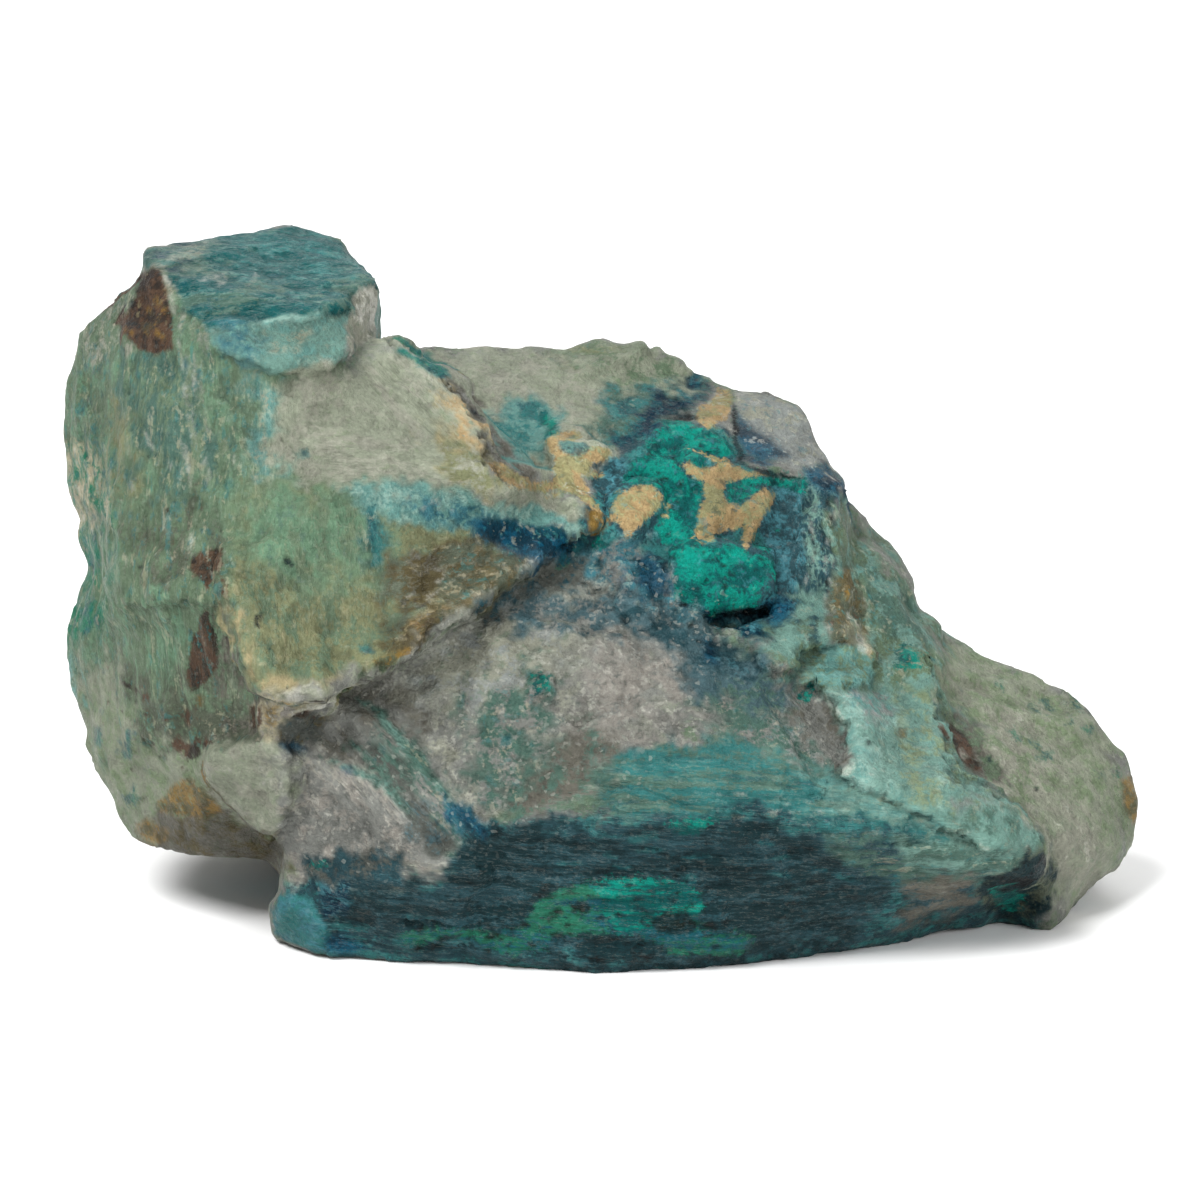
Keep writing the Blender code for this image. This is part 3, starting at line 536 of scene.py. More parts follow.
# How far the edge of each kind of stain wanders, as a share of the common drift; the rest stay near.
WANDER = {"turquoise": 0.6, "mint": 0.5}

# How ragged the edge of each kind of stain is; the rest have 1.
RAGGED = {"turquoise": 2.6, "mint": 2.6, "clay": 1.4}

# Small specks strewn inside an outline: kind, how many, length, width, tilt in degrees, and outline.
SPECKS = [
    ("teal", 46, 9, 3.4, 84, "84,360 230,350 236,480 200,560 90,520 70,440"),
    ("teal", 26, 7, 3, 70, "64,340 112,340 110,560 84,560 66,440"),
    ("mint", 22, 8, 4, 80, "64,420 110,430 104,600 84,600 66,500"),
    ("teal", 16, 6, 3, 84, "80,620 170,640 240,740 120,800 70,720"),
    ("iron", 26, 5, 3, 84, "90,660 150,676 220,700 200,780 110,780"),
    ("iron", 16, 6, 2.4, 84, "130,500 230,510 226,600 150,600"),
    ("black_and_shade", 14, 3, 2, 84, "130,440 300,440 300,700 140,640"),
    ("chalk", 34, 26, 3.4, 86, "176,318 206,320 210,480 186,480"),
    ("chalk", 20, 20, 3, 86, "110,440 240,440 240,600 110,600"),
    # The next three rows of chalk specks are painted glints: small white highlights on crystal faces in the
    # brown band, the aqua band and the pale pink patch.
    ("chalk", 34, 6, 2, -28, "404,570 500,552 530,564 484,600 416,640"),
    ("chalk", 18, 6, 3, -10, "380,488 470,492 540,508 500,512 400,508"),
    ("chalk", 16, 8, 3, 60, "590,650 690,640 680,720 600,740"),
    ("chalk", 16, 12, 3, -14, "146,250 250,240 260,300 180,290"),
    ("chalk", 16, 4, 2, 0, "214,750 280,750 276,820 230,800"),
    ("blue", 18, 4, 3, 0, "600,540 672,560 690,620 620,600"),
    # painted glints: small white highlights on the druzy blue
    ("chalk", 22, 3.4, 2, 0, "590,548 680,560 700,630 620,610"),
    ("black_and_shade", 60, 11, 5, 4, "540,880 704,880 750,946 510,950"),
    ("black_and_shade", 20, 12, 4, -10, "400,926 520,926 540,952 400,950"),
    ("black_and_shade", 16, 6, 4, 0, "650,430 720,432 700,540 640,490"),
    ("black_and_shade", 16, 6, 4, 0, "670,546 768,560 760,606 680,596"),
    ("black_and_shade", 12, 8, 4, 80, "124,300 172,276 172,346 130,346"),
    ("ochre", 12, 9, 5, 70, "124,300 172,276 172,346 130,346"),
    ("teal", 24, 22, 3, 4, "500,850 860,840 860,900 540,870"),
    ("black_and_shade", 20, 20, 4, 4, "480,850 860,850 840,930 500,900"),
    ("mint", 12, 12, 5, 46, "960,660 1100,710 1130,780 1040,780"),
    ("iron", 10, 6, 3, 50, "826,574 870,574 872,650 830,640"),
    ("chalk", 18, 5, 3, 20, "826,590 872,600 872,650 830,644"),
    ("chalk", 20, 9, 2, 86, "804,500 838,500 836,600 806,596"),
    ("black_and_shade", 14, 12, 3, 86, "790,496 836,500 832,590 780,590"),
    ("turquoise", 20, 8, 6, 0, "600,470 660,430 780,480 790,600 660,560"),
    ("clay", 9, 10, 6, 20, "500,470 560,484 600,520 560,500 500,492"),
    ("clay", 10, 9, 5, 0, "552,426 618,438 612,476 584,488 552,446"),
    ("clay", 14, 8, 5, 0, "604,486 668,474 672,520 630,550"),
    ("chalk", 20, 14, 2, 4, "620,780 900,800 1000,850 760,830"),
]

# Broken edges: rise in millimetres, edge, reach, line. The raised side is on the left hand of travel.
LEDGES = [
    (0.5, 4, 44, "506,484 487,463 480,440 478,426 462,402 440,384 405,352 387,341"),
    (0.25, 4, 40, "224,590 230,606 240,640 250,664 262,690 290,694 314,692"),
    (0.5, 4, 34,
     "291,716 312,708 333,697 349,685 370,672 383,664 408,660 418,645 425,627 441,624 462,616 479,605 "
     "498,591 521,574 544,560 585,530"),
    (0.6, 4, 40, "752,652 757,664 770,671 790,673 798,648 825,646 838,640"),
    (0.6, 4, 50,
     "821,692 832,700 834,711 846,722 849,734 844,742 852,750 846,762 832,768 830,772 866,788 895,801 "
     "950,833 990,846"),
    (0.45, 4, 40, "1042,842 1015,808 974,790 950,784 945,750 938,712 925,660"),
    (0.3, 6, 30, "142,606 165,601 190,600 212,606 230,600"),
    (0.3, 5, 30, "232,356 262,370 300,373 325,376 348,354"),
    (0.5, 4, 30, "276,836 286,810 292,770 286,746 270,740"),
    (0.25, 6, 40, "474,835 443,790 420,758 393,726 356,699"),
    (0.25, 6, 40, "438,849 411,817 384,785 352,772 315,758"),
    (0.4, 4, 20, "808,684 830,690 858,690 874,676 874,660"),
    (0.3, 4, 30, "184,310 207,331 240,332 274,326 312,320 345,311 352,297 378,283"),
]

# How the grain runs: fall to the right in degrees, and the length, depth and width of its streaks.
GRAINS = {
    "fibre": (88, (4.5, 0.8, 0.7)),
    "slant": (46, (4.5, 1.0, 0.7)),
    "level": (4, (5.0, 1.0, 0.6)),
    "rise": (-12, (3.6, 1.4, 0.8)),
}

# Relief of the surface in millimetres and where it shows: kind, height, soft edge and outline.
TEXTURES = [
    ("fibre", 0.1, 50, "120,340 180,330 300,380 290,480 280,640 240,700 140,700 120,600"),
    ("fibre", 0.08, 40, "230,500 380,500 400,600 330,680 250,680"),
    ("fibre", 0.34, 10, "800,470 838,500 834,560 812,600 790,590 790,500"),
    ("druse", 0.14, 50, "300,700 400,664 560,566 720,640 720,720 640,790 480,840 290,900"),
    ("druse", 0.4, 20, "560,540 680,560 760,620 740,650 600,620"),
    ("crust", 0.6, 10,
     "622,470 656,424 724,426 730,466 700,470 700,540 772,552 772,606 702,612 672,596 670,540 600,540 "
     "560,500 550,440 610,446"),
    ("crust", 0.3, 14, "400,930 560,880 700,878 750,944 680,960 500,956"),
    ("crust", 0.35, 10, "826,570 864,570 874,660 840,660"),
    ("slant", 0.1, 30, "370,350 404,352 470,420 480,470 420,440 360,400"),
    ("level", 0.08, 30, "300,420 420,440 490,486 330,486"),
    ("slant", 0.14, 30, "300,740 400,700 460,800 480,850 340,800"),
    ("level", 0.18, 30, "600,760 760,750 900,800 1044,850 900,930 600,970 300,950 330,880 500,840"),
    ("rise", 0.12, 16, "140,250 300,226 382,282 314,316 200,336"),
    ("rise", 0.16, 16, "384,580 420,540 520,550 500,590 420,640"),
]

# Small pulls of the outline: spot, radius, and the way it goes on the drawing.
PULLS = [
    (135, 275, 26, 7, 2), (147, 247, 20, -4, -5), (297, 228, 44, 0, -4), (336, 240, 22, 4, -3),
    (386, 332, 26, -2, 7), (566, 342, 44, 0, 11), (520, 347, 40, 0, 6), (465, 346, 40, 0, 3),
    (646, 350, 24, 2, -9), (696, 370, 26, -3, 8), (765, 393, 46, 0, -5), (820, 440, 26, -4, 0),
    (841, 482, 22, 6, -2), (880, 532, 34, -4, 4), (925, 602, 30, -6, 6), (980, 652, 60, -2, 7),
    (1088, 708, 50, 5, -8), (71, 352, 34, 5, 0), (70, 500, 34, -9, 0), (80, 565, 30, 6, 0),
    (96, 765, 44, -8, 4), (1082, 890, 40, -5, -6), (940, 930, 50, 0, -4), (300, 950, 50, 0, -4),
]


# ---------------------------------------------------------------- the drawing

def path(text):
    """Corners of an outline or a line that is written as x,y pairs."""
    return np.array([pair.split(",") for pair in text.split()], dtype=float)


def drawn(points):
    """Where points in metres fall on the front drawing."""
    x, y, z = (points / MM + MIDDLE).T
    rise = z - VIEW_TARGET_HEIGHT
    away = y * math.cos(VIEW_TILT) - rise * math.sin(VIEW_TILT) + VIEW_DISTANCE
    climb = rise * math.cos(VIEW_TILT) + y * math.sin(VIEW_TILT)
    scale = DRAWING_SCALE * VIEW_DISTANCE / away
    return np.stack((DRAWING_CENTRE + x * scale, DRAWING_CENTRE - climb * scale), axis=1)


def eye_place():
    """The camera's place in metres."""
    away = VIEW_DISTANCE * Vector((0, -math.cos(VIEW_TILT), math.sin(VIEW_TILT)))
    return (away + Vector((0, 0, VIEW_TARGET_HEIGHT)) - Vector(MIDDLE)) * MM


def fade(value, low, high):
    """0 below low and 1 above high, with a smooth run between."""
    share = np.clip((value - low) / (high - low), 0, 1)
    return share * share * (3 - 2 * share)


def band(value, start, full, waning, end):
    """0 outside start and end, 1 between full and waning."""
    return fade(value, start, full) * (1 - fade(value, waning, end))


def inset(spots, corners, reach=FAR_OUTSIDE):
    """Distance of each spot inside an outline, negative outside it; -reach stands for far outside."""
    low, high = corners.min(axis=0) - reach, corners.max(axis=0) + reach
    near = np.flatnonzero(np.all((spots > low) & (spots < high), axis=1))
    close = spots[near]
    nearest = np.full(len(close), np.inf)
    inside = np.zeros(len(close), dtype=bool)
    for start, end in zip(corners, np.roll(corners, -1, axis=0)):
        run = end - start
        offset = close - start
        along = np.clip(offset @ run / (run @ run), 0, 1)
        nearest = np.minimum(nearest, np.linalg.norm(offset - along[:, None] * run, axis=1))
        crosses = (start[1] > close[:, 1]) != (end[1] > close[:, 1])
        if run[1]:
            inside ^= crosses & (close[:, 0] < start[0] + (close[:, 1] - start[1]) * run[0] / run[1])
    depth = np.full(len(spots), -float(reach))
    depth[near] = np.maximum(np.where(inside, nearest, -nearest), -reach)
    return depth


def past_line(spots, corners):
    """Signed distance to the left of an open line, and how far beyond its ends each spot is."""
    nearest = np.full(len(spots), np.inf)
    side = np.zeros(len(spots))
    beyond = np.zeros(len(spots))
    last = len(corners) - 2
    for i, (start, end) in enumerate(zip(corners, corners[1:])):
        run = end - start
        offset = spots - start
        along = offset @ run / (run @ run)
        from_line = np.linalg.norm(offset - np.clip(along, 0, 1)[:, None] * run, axis=1)
        over = np.zeros(len(spots))
        if i == 0:
            over = np.maximum(over, -along)
        if i == last:
            over = np.maximum(over, along - 1)
        closer = from_line < nearest
        nearest = np.where(closer, from_line, nearest)
        turn = run[1] * offset[:, 0] - run[0] * offset[:, 1]
        side = np.where(closer, np.sign(turn), side)
        beyond = np.where(closer, over * np.linalg.norm(run), beyond)
    return nearest * side, beyond


def weight(spots, outline, edge):
    """How much each spot belongs to an outline with a soft edge."""
    return fade(inset(spots, path(outline)), -edge / 2, edge / 2)


# ---------------------------------------------------------------- noise

def sampled(points, period, measure):
    """A noise measure of every point, with its lumps about one period of millimetres across."""
    stretch = 1 / (np.array(period) * MM)
    return np.array([measure(Vector(spot)) for spot in points * stretch])


def facet(spot):
    """Height on a patchwork of tilted flat chips, in units of a chip."""
    nearest = noise.voronoi(spot)[1][0]
    return (spot - nearest).dot(noise.noise_vector(nearest * CHIP_SCATTER))


def ridged(spot):
    """1 on the crests of a noise and falling to both sides."""
    return 1 - abs(noise.noise(spot)) * 2


def rough(spot):
    """Noise in four sizes, each about half the last."""
    return noise.fractal(spot, 0.7, 2.1, 4)


def lumps(spot):
    """Rounded knobs, 0 between them and 1 on their tops."""
    return 1 - min(noise.voronoi(spot)[0][0], 1) ** 2


# Relief patterns as layers of noise: height, period in millimetres, and measure. Streaks' periods are
# shares of their grain's own size.
COMMON_RELIEF = ((0.26, 3.4, facet), (0.1, 1.5, facet), (0.08, 2, rough))
DRUSE = ((2, 1, facet), (1.5, 2.4, facet))
CRUST = ((1, 1.7, lumps), (0.5, 0.8, lumps))
STREAKS = ((1, 1.3, ridged), (2, 1.9, facet))


def layered(points, layers, shape=1):
    """The sum of some layers of noise, stretched to a shape."""
    return sum(height * sampled(points, np.array(shape) * period, measure)
               for height, period, measure in layers)


def drifting(points, drifts):
    """Noise that moves each vertex's spot about on the drawing."""
    return sum(sampled(points, period, noise.noise_vector)[:, :2] * reach for period, reach in drifts)


def along_grain(points, fall):
    """Points turned about the depth axis, so X runs along streaks that fall to the right by an angle."""
    turn = math.radians(fall)
    matrix = ((math.cos(turn), 0, math.sin(turn)), (0, 1, 0), (-math.sin(turn), 0, math.cos(turn)))
    return points @ np.array(matrix)


def veined(points, kinds, period):
    """Ragged noise, drawn out along the grain where the stone has one, from 0 to 1."""
    value = sampled(points, period, rough)
    for kind, (fall, shape) in GRAINS.items():
        streaks = sampled(along_grain(points, fall), np.array(shape) * period, rough)
        value += kinds[kind] * (streaks - value)
    return np.clip(0.5 + VEIN_CONTRAST * value, 0, 1)


# ---------------------------------------------------------------- the surface

def read(mesh, normals=False):
    """The places or the normals of a mesh's vertices."""
    values = np.empty(len(mesh.vertices) * 3)
    if normals:
        mesh.vertex_normals.foreach_get("vector", values)
    else:
        mesh.vertices.foreach_get("co", values)
    return values.reshape(-1, 3)


def write(mesh, points):
    """Moves the vertices, none of them below the plane that the stone rests on."""
    points[:, 2] = np.maximum(points[:, 2], 0)
    mesh.vertices.foreach_set("co", points.ravel())
    mesh.update()


def dressed(thing):
    """A new mesh of an object with its modifiers applied."""
    mesh = bpy.data.meshes.new_from_object(thing.evaluated_get(bpy.context.evaluated_depsgraph_get()))
    mesh.name = "stone_surface"
    return mesh


def fine_surface(node):
    """The stone's skin as one fine mesh, the flat chips of the solid a little eased."""
    coarse = bpy.data.objects.new("coarse", node.data.copy())
    bpy.context.scene.collection.objects.link(coarse)
    form = bmesh.new()
    form.from_mesh(coarse.data)
    bmesh.ops.remove_doubles(form, verts=form.verts, dist=WELD_DISTANCE)
    form.to_mesh(coarse.data)
    form.free()
    remesh = coarse.modifiers.new("remesh", "REMESH")
    remesh.mode = "VOXEL"
    remesh.voxel_size = SURFACE_VOXEL * MM
    ease = coarse.modifiers.new("ease", "SMOOTH")
    ease.factor = EASE_SHARE
    ease.iterations = EASE_ROUNDS
    mesh = dressed(coarse)
    bpy.data.objects.remove(coarse)
    mesh.materials.clear()
    piece = bpy.data.objects.new("stone_surface", mesh)
    bpy.context.scene.collection.objects.link(piece)
    return piece


def thin_hidden(piece, seen):
    """Fewer faces on the sides that the drawing hides, so the whole skin stays light."""
    group = piece.vertex_groups.new(name="hidden")
    for i, share in enumerate(seen):
        group.add([i], 1 - FRONT_SPARED * min(1, share * FRONT_GAIN), "REPLACE")
    thin = piece.modifiers.new("thin", "DECIMATE")
    thin.ratio = MOST_TRIANGLES / (len(piece.data.polygons) * 2)
    thin.vertex_group = "hidden"
    mesh = dressed(piece)
    piece.modifiers.clear()
    piece.vertex_groups.clear()
    piece.data = mesh


def front_share(mesh):
    """How much each vertex is part of the side that the drawing shows, from 0 to 1."""
    points, normals = read(mesh), read(mesh, normals=True)
    eye = eye_place()
    tree = BVHTree.FromPolygons([v.co for v in mesh.vertices], [p.vertices for p in mesh.polygons])
    seen = np.empty(len(points))
    for i, (point, normal) in enumerate(zip(points, normals)):
        sight = Vector(point) - eye
        reach = tree.ray_cast(eye, sight.normalized())[3]
        open_way = reach is None or reach > sight.length - SIGHT_SLACK * MM
        seen[i] = open_way * min(1, max(0, -sight.normalized().dot(normal) / FULL_SIGHT))
    ends = np.empty(len(mesh.edges) * 2, dtype=int)
    mesh.edges.foreach_get("vertices", ends)
    first, second = ends.reshape(-1, 2).T
    degree = np.bincount(ends, minlength=len(points))
    for _ in range(SIGHT_BLURS):
        total = np.bincount(first, seen[second], len(points)) + np.bincount(second, seen[first], len(points))
        seen = (seen + total / degree) / 2
    return seen


def spots_of(points, seen):
    """Each vertex's spot on the drawing; on hidden sides the drawing's features wander far."""
    return drawn(points) + drifting(points, HIDDEN_DRIFTS) * (1 - seen)[:, None]


def relief(points, spots):
    """Height in millimetres that the fine texture adds to each vertex."""
    patterns = {"druse": layered(points, DRUSE), "crust": layered(points, CRUST)}
    for kind, (fall, shape) in GRAINS.items():
        patterns[kind] = layered(along_grain(points, fall), STREAKS, shape)
    height = layered(points, COMMON_RELIEF)
    for kind, rise, edge, outline in TEXTURES:
        height += rise * weight(spots, outline, edge) * patterns[kind]
    return height


def sculpt(mesh, seen):
    """The outline's pulls, then broken edges, then the fine texture along the skin's own direction."""
    points = read(mesh)
    spots = spots_of(points, seen)
    right_way = np.array((1, 0, 0))
    up_way = np.array((0, math.sin(VIEW_TILT), math.cos(VIEW_TILT)))
    place = drawn(points)
    for u, v, radius, right, down in PULLS:
        share = 1 - fade(np.hypot(place[:, 0] - u, place[:, 1] - v), 0, radius)
        points += share[:, None] * (right * right_way - down * up_way) / DRAWING_SCALE * MM
    write(mesh, points)
    normals = read(mesh, normals=True)
    ragged = spots + drifting(points, LEDGE_DRIFTS)
    height = np.zeros(len(points))
    painted_crevice_shade = np.zeros(len(points))
    painted_rim_light = np.zeros(len(points))
    for rise, edge, reach, line in LEDGES:
        past, beyond = past_line(ragged, path(line))
        ends = (1 - fade(beyond, 0, LEDGE_END)) * seen
        height += rise * band(past, -edge / 2, edge / 2, edge, reach) * ends
        # painted shade along the foot of each ledge and a painted highlight along its raised rim, stronger
        # on higher ledges
        marked = ends * min(1, rise * 2)
        painted_crevice_shade = np.maximum(painted_crevice_shade, band(past, *PAINTED_SHADE_BAND) * marked)
        painted_rim_light = np.maximum(painted_rim_light, band(past, *PAINTED_RIM_LIGHT_BAND) * marked)
    clay = np.max([inset(ragged, path(outline)) for outline in STAINS["clay"]], axis=0)
    height += CLAY_RISE * fade(clay, *CLAY_EDGE) * seen
    slot = inset(ragged, path(STAINS["black_and_shade"][0]))
    height -= SLOT_DEPTH * fade(slot, *SLOT_EDGE) * seen
    points += normals * height[:, None] * MM
    write(mesh, points)
    points, normals = read(mesh), read(mesh, normals=True)
    texture = relief(points, spots)
    points += normals * texture[:, None] * MM
    write(mesh, points)
    # painted relief light from the texture and the ledges' steps, stored with the painted ledge shade and
    # rim highlight
    painted_relief_light = np.clip(0.5 + (texture + height * STEP_SHARE) * RELIEF_LIGHT_GAIN, 0, 1)
    store(mesh, "edges", np.stack((painted_relief_light, painted_crevice_shade, painted_rim_light), axis=1))


# ---------------------------------------------------------------- colours

def linear(tone):
    """The share of red, green and blue light that a mineral of this sRGB colour throws back."""
    share = np.array(tone) / 255
    return DEPTH_OF_TONE * np.where(share < 0.04045, share / 12.92, ((share + 0.055) / 1.055) ** 2.4)


def store(mesh, name, values):
    """Keeps up to three numbers for every vertex under a name that the material reads."""
    colours = np.ones((len(values), 4))
    colours[:, :values.shape[1]] = values
    layer = mesh.color_attributes.new(name, "FLOAT_COLOR", "POINT")
    layer.data.foreach_set("color", colours.ravel())


def strewn():
    """The stains with their strewn specks: small slanted lozenges at random places inside an outline."""
    pick = random.Random(SPECK_SEED)
    stains = {kind: [path(outline) for outline in outlines] for kind, outlines in STAINS.items()}
    for kind, count, length, width, tilt, outline in SPECKS:
        corners = path(outline)
        low, high = corners.min(axis=0), corners.max(axis=0)
        while count:
            middle = np.array([pick.uniform(low[i], high[i]) for i in (0, 1)])
            grow = pick.uniform(*SPECK_GROWTH)
            turn = math.radians(tilt + pick.gauss(0, SPECK_TURN))
            if inset(middle[None], corners)[0] < 0:
                continue
            count -= 1
            way = np.array((math.cos(turn), math.sin(turn)))
            across = np.array((-way[1], way[0]))
            stains[kind].append(np.array([middle + grow / 2 * (a * length * way + b * width * across)
                                          for a, b in LOZENGE]))
    return stains


def paint(mesh, seen):
    """Stores what the material reads: the minerals, the stains, the kinds of texture and the mottling."""
    points = read(mesh)
    spots = spots_of(points, seen)
    drift = drifting(points, DRIFTS)
    minerals = [np.tile(linear(MINERALS["grey"]), (len(points), 1)) for _ in range(4)]
    for main, second, edge, outline in PAINT:
        share = weight(spots + drift * min(MOST_DRIFT, edge / DRIFTING_EDGE), outline, edge)[:, None]
        for layer, name in zip(minerals, (main, second, *FLECKS.get(main, ("teal", "cream")))):
            layer += (linear(MINERALS[name]) - layer) * share
    for name, layer in zip(("mineral", "vein", "dark_fleck", "pale_fleck"), minerals):
        store(mesh, name, layer)
    depths = [np.max([inset(spots + drift * WANDER.get(kind, LEAST_WANDER), corners, STAIN_REACH)
                      for corners in outlines], axis=0) for kind, outlines in strewn().items()]
    for i in range(0, len(depths), 3):
        store(mesh, f"stains_{i // 3}", np.stack(depths[i:i + 3], axis=1) / STAIN_REACH / 2 + 0.5)
    kinds = {}
    for kind, _, edge, outline in TEXTURES:
        kinds[kind] = np.maximum(kinds.get(kind, 0), weight(spots, outline, edge))
    store(mesh, "grain", np.stack([kinds[kind] for kind in ("fibre", "slant", "level")], axis=1))
    store(mesh, "finish", np.stack([kinds[kind] for kind in ("druse", "crust", "rise")], axis=1))
    store(mesh, "mottle", np.stack([veined(points + shift * MM, kinds, period)
                                    for shift, period in MOTTLES], axis=1))


class Signal:
    """A number that flows between a material's nodes, with plain arithmetic."""

    def __init__(self, graph, socket):
        self.graph = graph
        self.socket = socket

    def __add__(self, other):
        return self.graph.maths("ADD", self, other)

    def __sub__(self, other):
        return self.graph.maths("SUBTRACT", self, other)

    def __mul__(self, other):
        return self.graph.maths("MULTIPLY", self, other)


class Graph:
    """A material's nodes, built call by call."""

    def __init__(self, name):
        self.material = bpy.data.materials.new(name)
        self.material.use_nodes = True
        self.tree = self.material.node_tree
        self.tree.nodes.clear()

    def add(self, kind, inputs=(), **settings):
        """A new node, its inputs linked or set, with its outputs' sockets."""
        node = self.tree.nodes.new(kind)
        for name, value in settings.items():
            setattr(node, name, value)
        for name, value in dict(inputs).items():
            value = getattr(value, "socket", value)
            if hasattr(value, "is_output"):
                self.tree.links.new(value, node.inputs[name])
            else:
                node.inputs[name].default_value = value
        return node.outputs

    def attribute(self, name):
        return self.add("ShaderNodeAttribute", attribute_name=name)["Color"]

    def channels(self, colour):
        split = self.add("ShaderNodeSeparateColor", {"Color": colour})
        return [Signal(self, split[i]) for i in range(3)]

    def maths(self, operation, first, second=0.0):
        return Signal(self, self.add("ShaderNodeMath", {0: first, 1: second}, operation=operation)[0])

    def vectors(self, operation, first, second):
        return self.add("ShaderNodeVectorMath", {0: first, 1: second}, operation=operation)

    def blend(self, share, first, second):
        return self.add("ShaderNodeMix", {0: share, 6: first, 7: second}, data_type="RGBA")[2]

    def between(self, share, first, second):
        return Signal(self, self.add("ShaderNodeMix", {0: share, 2: first, 3: second})[0])

    def fade(self, value, low, high):
        ends = {"Value": value, "From Min": low, "From Max": high}
        return Signal(self, self.add("ShaderNodeMapRange", ends, interpolation_type="SMOOTHSTEP")["Result"])

    def turned(self, place, angle, size):
        """Coordinates stretched to a size in millimetres along axes turned in the drawing's plane."""
        frame = {"Vector": place, "Rotation": (0, angle, 0), "Scale": [side * MM for side in size]}
        return self.add("ShaderNodeMapping", frame, vector_type="TEXTURE")["Vector"]

    def noise(self, place, scale, detail, roughness):
        shape = {"Vector": place, "Scale": scale, "Detail": detail, "Roughness": roughness}
        return Signal(self, self.add("ShaderNodeTexNoise", shape)["Fac"])

    def chips(self, place, scale):
        """A patchwork of tilted flat chips: its height in millimetres, and a random share for each chip."""
        cells = self.add("ShaderNodeTexVoronoi", {"Vector": place, "Scale": scale})
        offset = self.vectors("SUBTRACT", place, cells["Position"])[0]
        tilt = self.vectors("SUBTRACT", cells["Color"], (0.5, 0.5, 0.5))[0]
        height = self.vectors("DOT_PRODUCT", offset, tilt)["Value"]
        return Signal(self, height), self.channels(cells["Color"])[0]


def colour(name):
    """A mineral's colour as a node's socket takes it."""
    return (*linear(MINERALS[name]), 1)


def stained(g, skin, tones, plain):
    """The skin under its stains, each with its own ragged edge and its own two tones."""
    ragged = (g.noise(plain, 2, 4, 0.8) - 0.5) * EDGE_ROUGHNESS
    groups = [g.channels(g.attribute(f"stains_{i}")) for i in range(math.ceil(len(STAINS) / 3))]
    depths = dict(zip(STAINS, [depth for group in groups for depth in group]))
    for kind, (most, main, second, edge) in STAIN_TONES.items():
        share = g.fade(ragged * RAGGED.get(kind, 1) + depths[kind], 0.5 - edge, 0.5 + edge) * most
        skin = g.blend(share, skin, g.blend(g.fade(tones, *STAIN_FADE), colour(main), colour(second)))
    return skin


def stone_material():
    """The one material of the stone, which reads what paint and sculpt have stored."""
    g = Graph("chrysocolla")
    place = g.add("ShaderNodeTexCoord")["Object"]
    plain = g.turned(place, 0, (1, 1, 1))
    druse, crust, rise = g.channels(g.attribute("finish"))
    painted_relief_light, painted_crevice_shade, painted_rim_light = g.channels(g.attribute("edges"))
    mottle, dark_spots, pale_spots = g.channels(g.attribute("mottle"))
    # fine grain follows the fibres where the stone is fibrous, and thin light strands run in it
    fine = g.noise(plain, 2.6, 4, 0.65)
    grain = g.noise(plain, 3, 3, 0.7)
    strands = 0.0
    for kind, share in zip(GRAINS, (*g.channels(g.attribute("grain")), rise)):
        fall, shape = GRAINS[kind]
        streaks = g.noise(g.turned(place, math.radians(fall), shape), 2.4, 3, 0.7)
        grain = g.between(share, grain, streaks)
        line = g.maths("ABSOLUTE", streaks - STRAND_LEVEL)
        strands = g.fade(line, *STRAND_EDGE) * share + strands
    grit = fine + grain - 1
    tones = mottle + grit
    skin = g.blend(g.fade(tones, *VEIN_FADE), g.attribute("mineral"), g.attribute("vein"))
    skin = stained(g, skin, tones, plain)
    skin = g.blend(g.fade(dark_spots + grit, *DARK_FADE) * DARK_MOST, skin, g.attribute("dark_fleck"))
    skin = g.blend(g.fade(pale_spots + grit, *PALE_FADE) * PALE_MOST, skin, g.attribute("pale_fleck"))
    # crystal chips: each takes its own brightness and tilt, and a few get a painted glint
    chip_height, chip = g.chips(plain, CHIPS_PER_MM)
    glint_height, glint = g.chips(plain, GLINTS_PER_MM)
    # painted light and shade: raised relief lighter and low relief darker, painted highlight on ledge rims,
    # painted shade at ledge feet, and the crust mottled with painted light and shade
    light = (chip + glint - 1) * CHIP_LIGHT + (grain - 0.5) * GRAIN_LIGHT + (painted_relief_light - 0.5) * CREST_LIGHT
    light = light + painted_rim_light * RIM_LIGHT + crust * (fine - 0.5) * CRUST_LIGHT - painted_crevice_shade * CREVICE_SHADE
    lit = {0: skin, "Scale": g.maths("MAXIMUM", light + 1, LEAST_LIGHT)}
    skin = g.add("ShaderNodeVectorMath", lit, operation="SCALE")[0]
    skin = g.blend(strands * STRAND_LIGHT, skin, colour("chalk"))
    painted_glint = g.fade(glint, *PAINTED_GLINT_FADE) * (druse * DRUSE_PAINTED_GLINT + PLAIN_PAINTED_GLINT)
    skin = g.blend(painted_glint, skin, colour("chalk"))
    # gloss: glassy quartz, dull crust
    gloss = druse * DRUSE_ROUGHNESS + crust * CRUST_ROUGHNESS + glint * GLINT_ROUGHNESS + LEAST_ROUGHNESS
    height = grain * GRAIN_BUMP + fine * FINE_BUMP + chip_height * CHIP_BUMP + glint_height * GLINT_BUMP
    bump = g.add("ShaderNodeBump", {"Height": height, "Strength": 1.0, "Distance": BUMP_DEPTH * MM})[0]
    surface = {"Base Color": skin, "Roughness": gloss, "Normal": bump, "Specular IOR Level": SPECULAR}
    g.add("ShaderNodeOutputMaterial", {"Surface": g.add("ShaderNodeBsdfPrincipled", surface)[0]})
    return g.material


# ---------------------------------------------------------------- studio

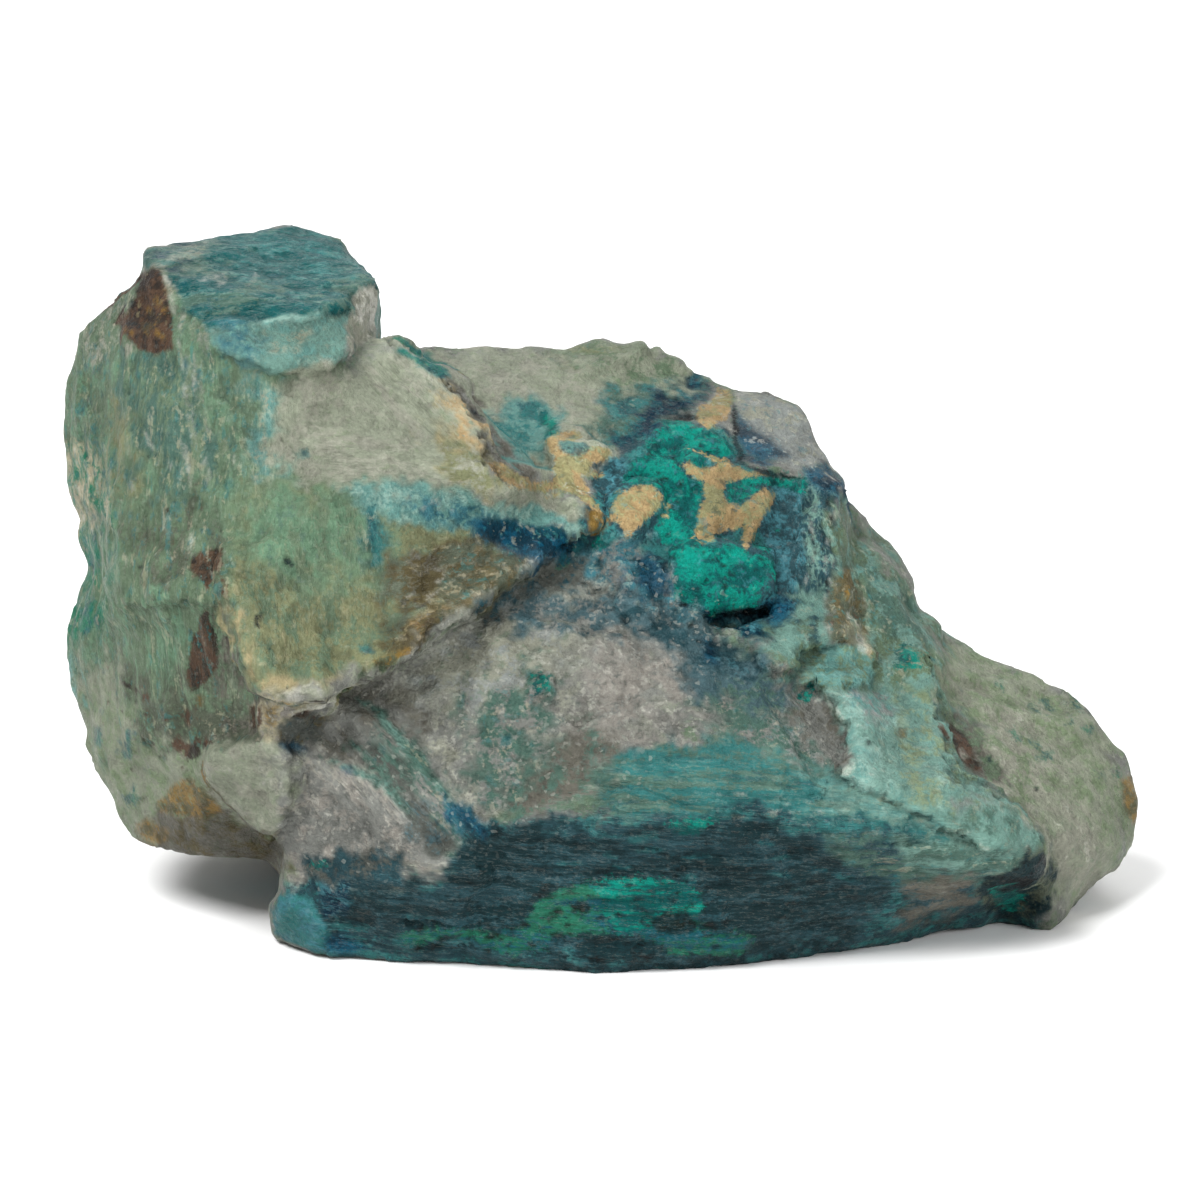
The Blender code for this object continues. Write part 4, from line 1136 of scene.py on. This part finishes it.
def backdrop():
    """A pale sheet of paper that lies flat and curves up behind the stone."""
    bend_start = SHEET_BACK - SHEET_BEND
    profile = [(SHEET_FRONT, 0.0), (bend_start, 0.0)]
    profile += [(bend_start + SHEET_BEND * math.sin(turn), SHEET_BEND - SHEET_BEND * math.cos(turn))
                for turn in np.linspace(0.1, math.pi / 2, 12)]
    profile.append((SHEET_BACK, SHEET_HEIGHT))
    form = bmesh.new()
    rows = [[form.verts.new((x, y, z)) for y, z in profile] for x in (-SHEET_HALF_WIDTH, SHEET_HALF_WIDTH)]
    for i in range(len(profile) - 1):
        form.faces.new((rows[0][i], rows[1][i], rows[1][i + 1], rows[0][i + 1]))
    mesh = bpy.data.meshes.new("backdrop")
    form.to_mesh(mesh)
    form.free()
    mesh.shade_smooth()
    g = Graph("pale_paper")
    paper = g.noise(g.add("ShaderNodeTexCoord")["Object"], 300, 2, 0.55)
    paper = g.blend(paper * 0.03, PAPER, PAPER_SHADE)
    shader = g.add("ShaderNodeBsdfPrincipled", {"Base Color": paper, "Roughness": 0.9})
    g.add("ShaderNodeOutputMaterial", {"Surface": shader[0]})
    mesh.materials.append(g.material)
    sheet = bpy.data.objects.new("backdrop", mesh)
    bpy.context.scene.collection.objects.link(sheet)


def lamps():
    """Soft lights round the stone, in even white air."""
    aim = Vector((0, 0, VIEW_TARGET_HEIGHT * MM))
    for name, place, side, power in LAMPS:
        light = bpy.data.lights.new(name, "AREA")
        light.size = side
        light.energy = power
        lamp = bpy.data.objects.new(name, light)
        lamp.location = place
        lamp.rotation_euler = (aim - lamp.location).to_track_quat("-Z", "Y").to_euler()
        bpy.context.scene.collection.objects.link(lamp)
    world = bpy.data.worlds.new("studio_air")
    world.use_nodes = True
    world.node_tree.nodes["Background"].inputs["Color"].default_value = (1, 1, 1, 1)
    world.node_tree.nodes["Background"].inputs["Strength"].default_value = AIR_STRENGTH
    bpy.context.scene.world = world


def camera():
    """The camera that sees the stone as it is drawn."""
    lens = bpy.data.cameras.new("camera")
    lens.sensor_width = SENSOR_WIDTH
    lens.lens = SENSOR_WIDTH * VIEW_DISTANCE / FIELD_WIDTH
    body = bpy.data.objects.new("camera", lens)
    body.location = eye_place()
    body.rotation_euler = (math.pi / 2 - VIEW_TILT, 0, 0)
    bpy.context.scene.collection.objects.link(body)
    bpy.context.scene.camera = body
    bpy.context.scene.view_settings.view_transform = "Standard"


# ---------------------------------------------------------------- assembly

noise.seed_set(NOISE_SEED)
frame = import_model()
stone = fine_surface(frame["nodes"][STONE])
front = front_share(stone.data)
sculpt(stone.data, front)
thin_hidden(stone, front)
paint(stone.data, front_share(stone.data))
stone.data.materials.append(stone_material())
stone.data.shade_smooth()
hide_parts(STONE)
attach(stone, "root")
backdrop()
lamps()
camera()
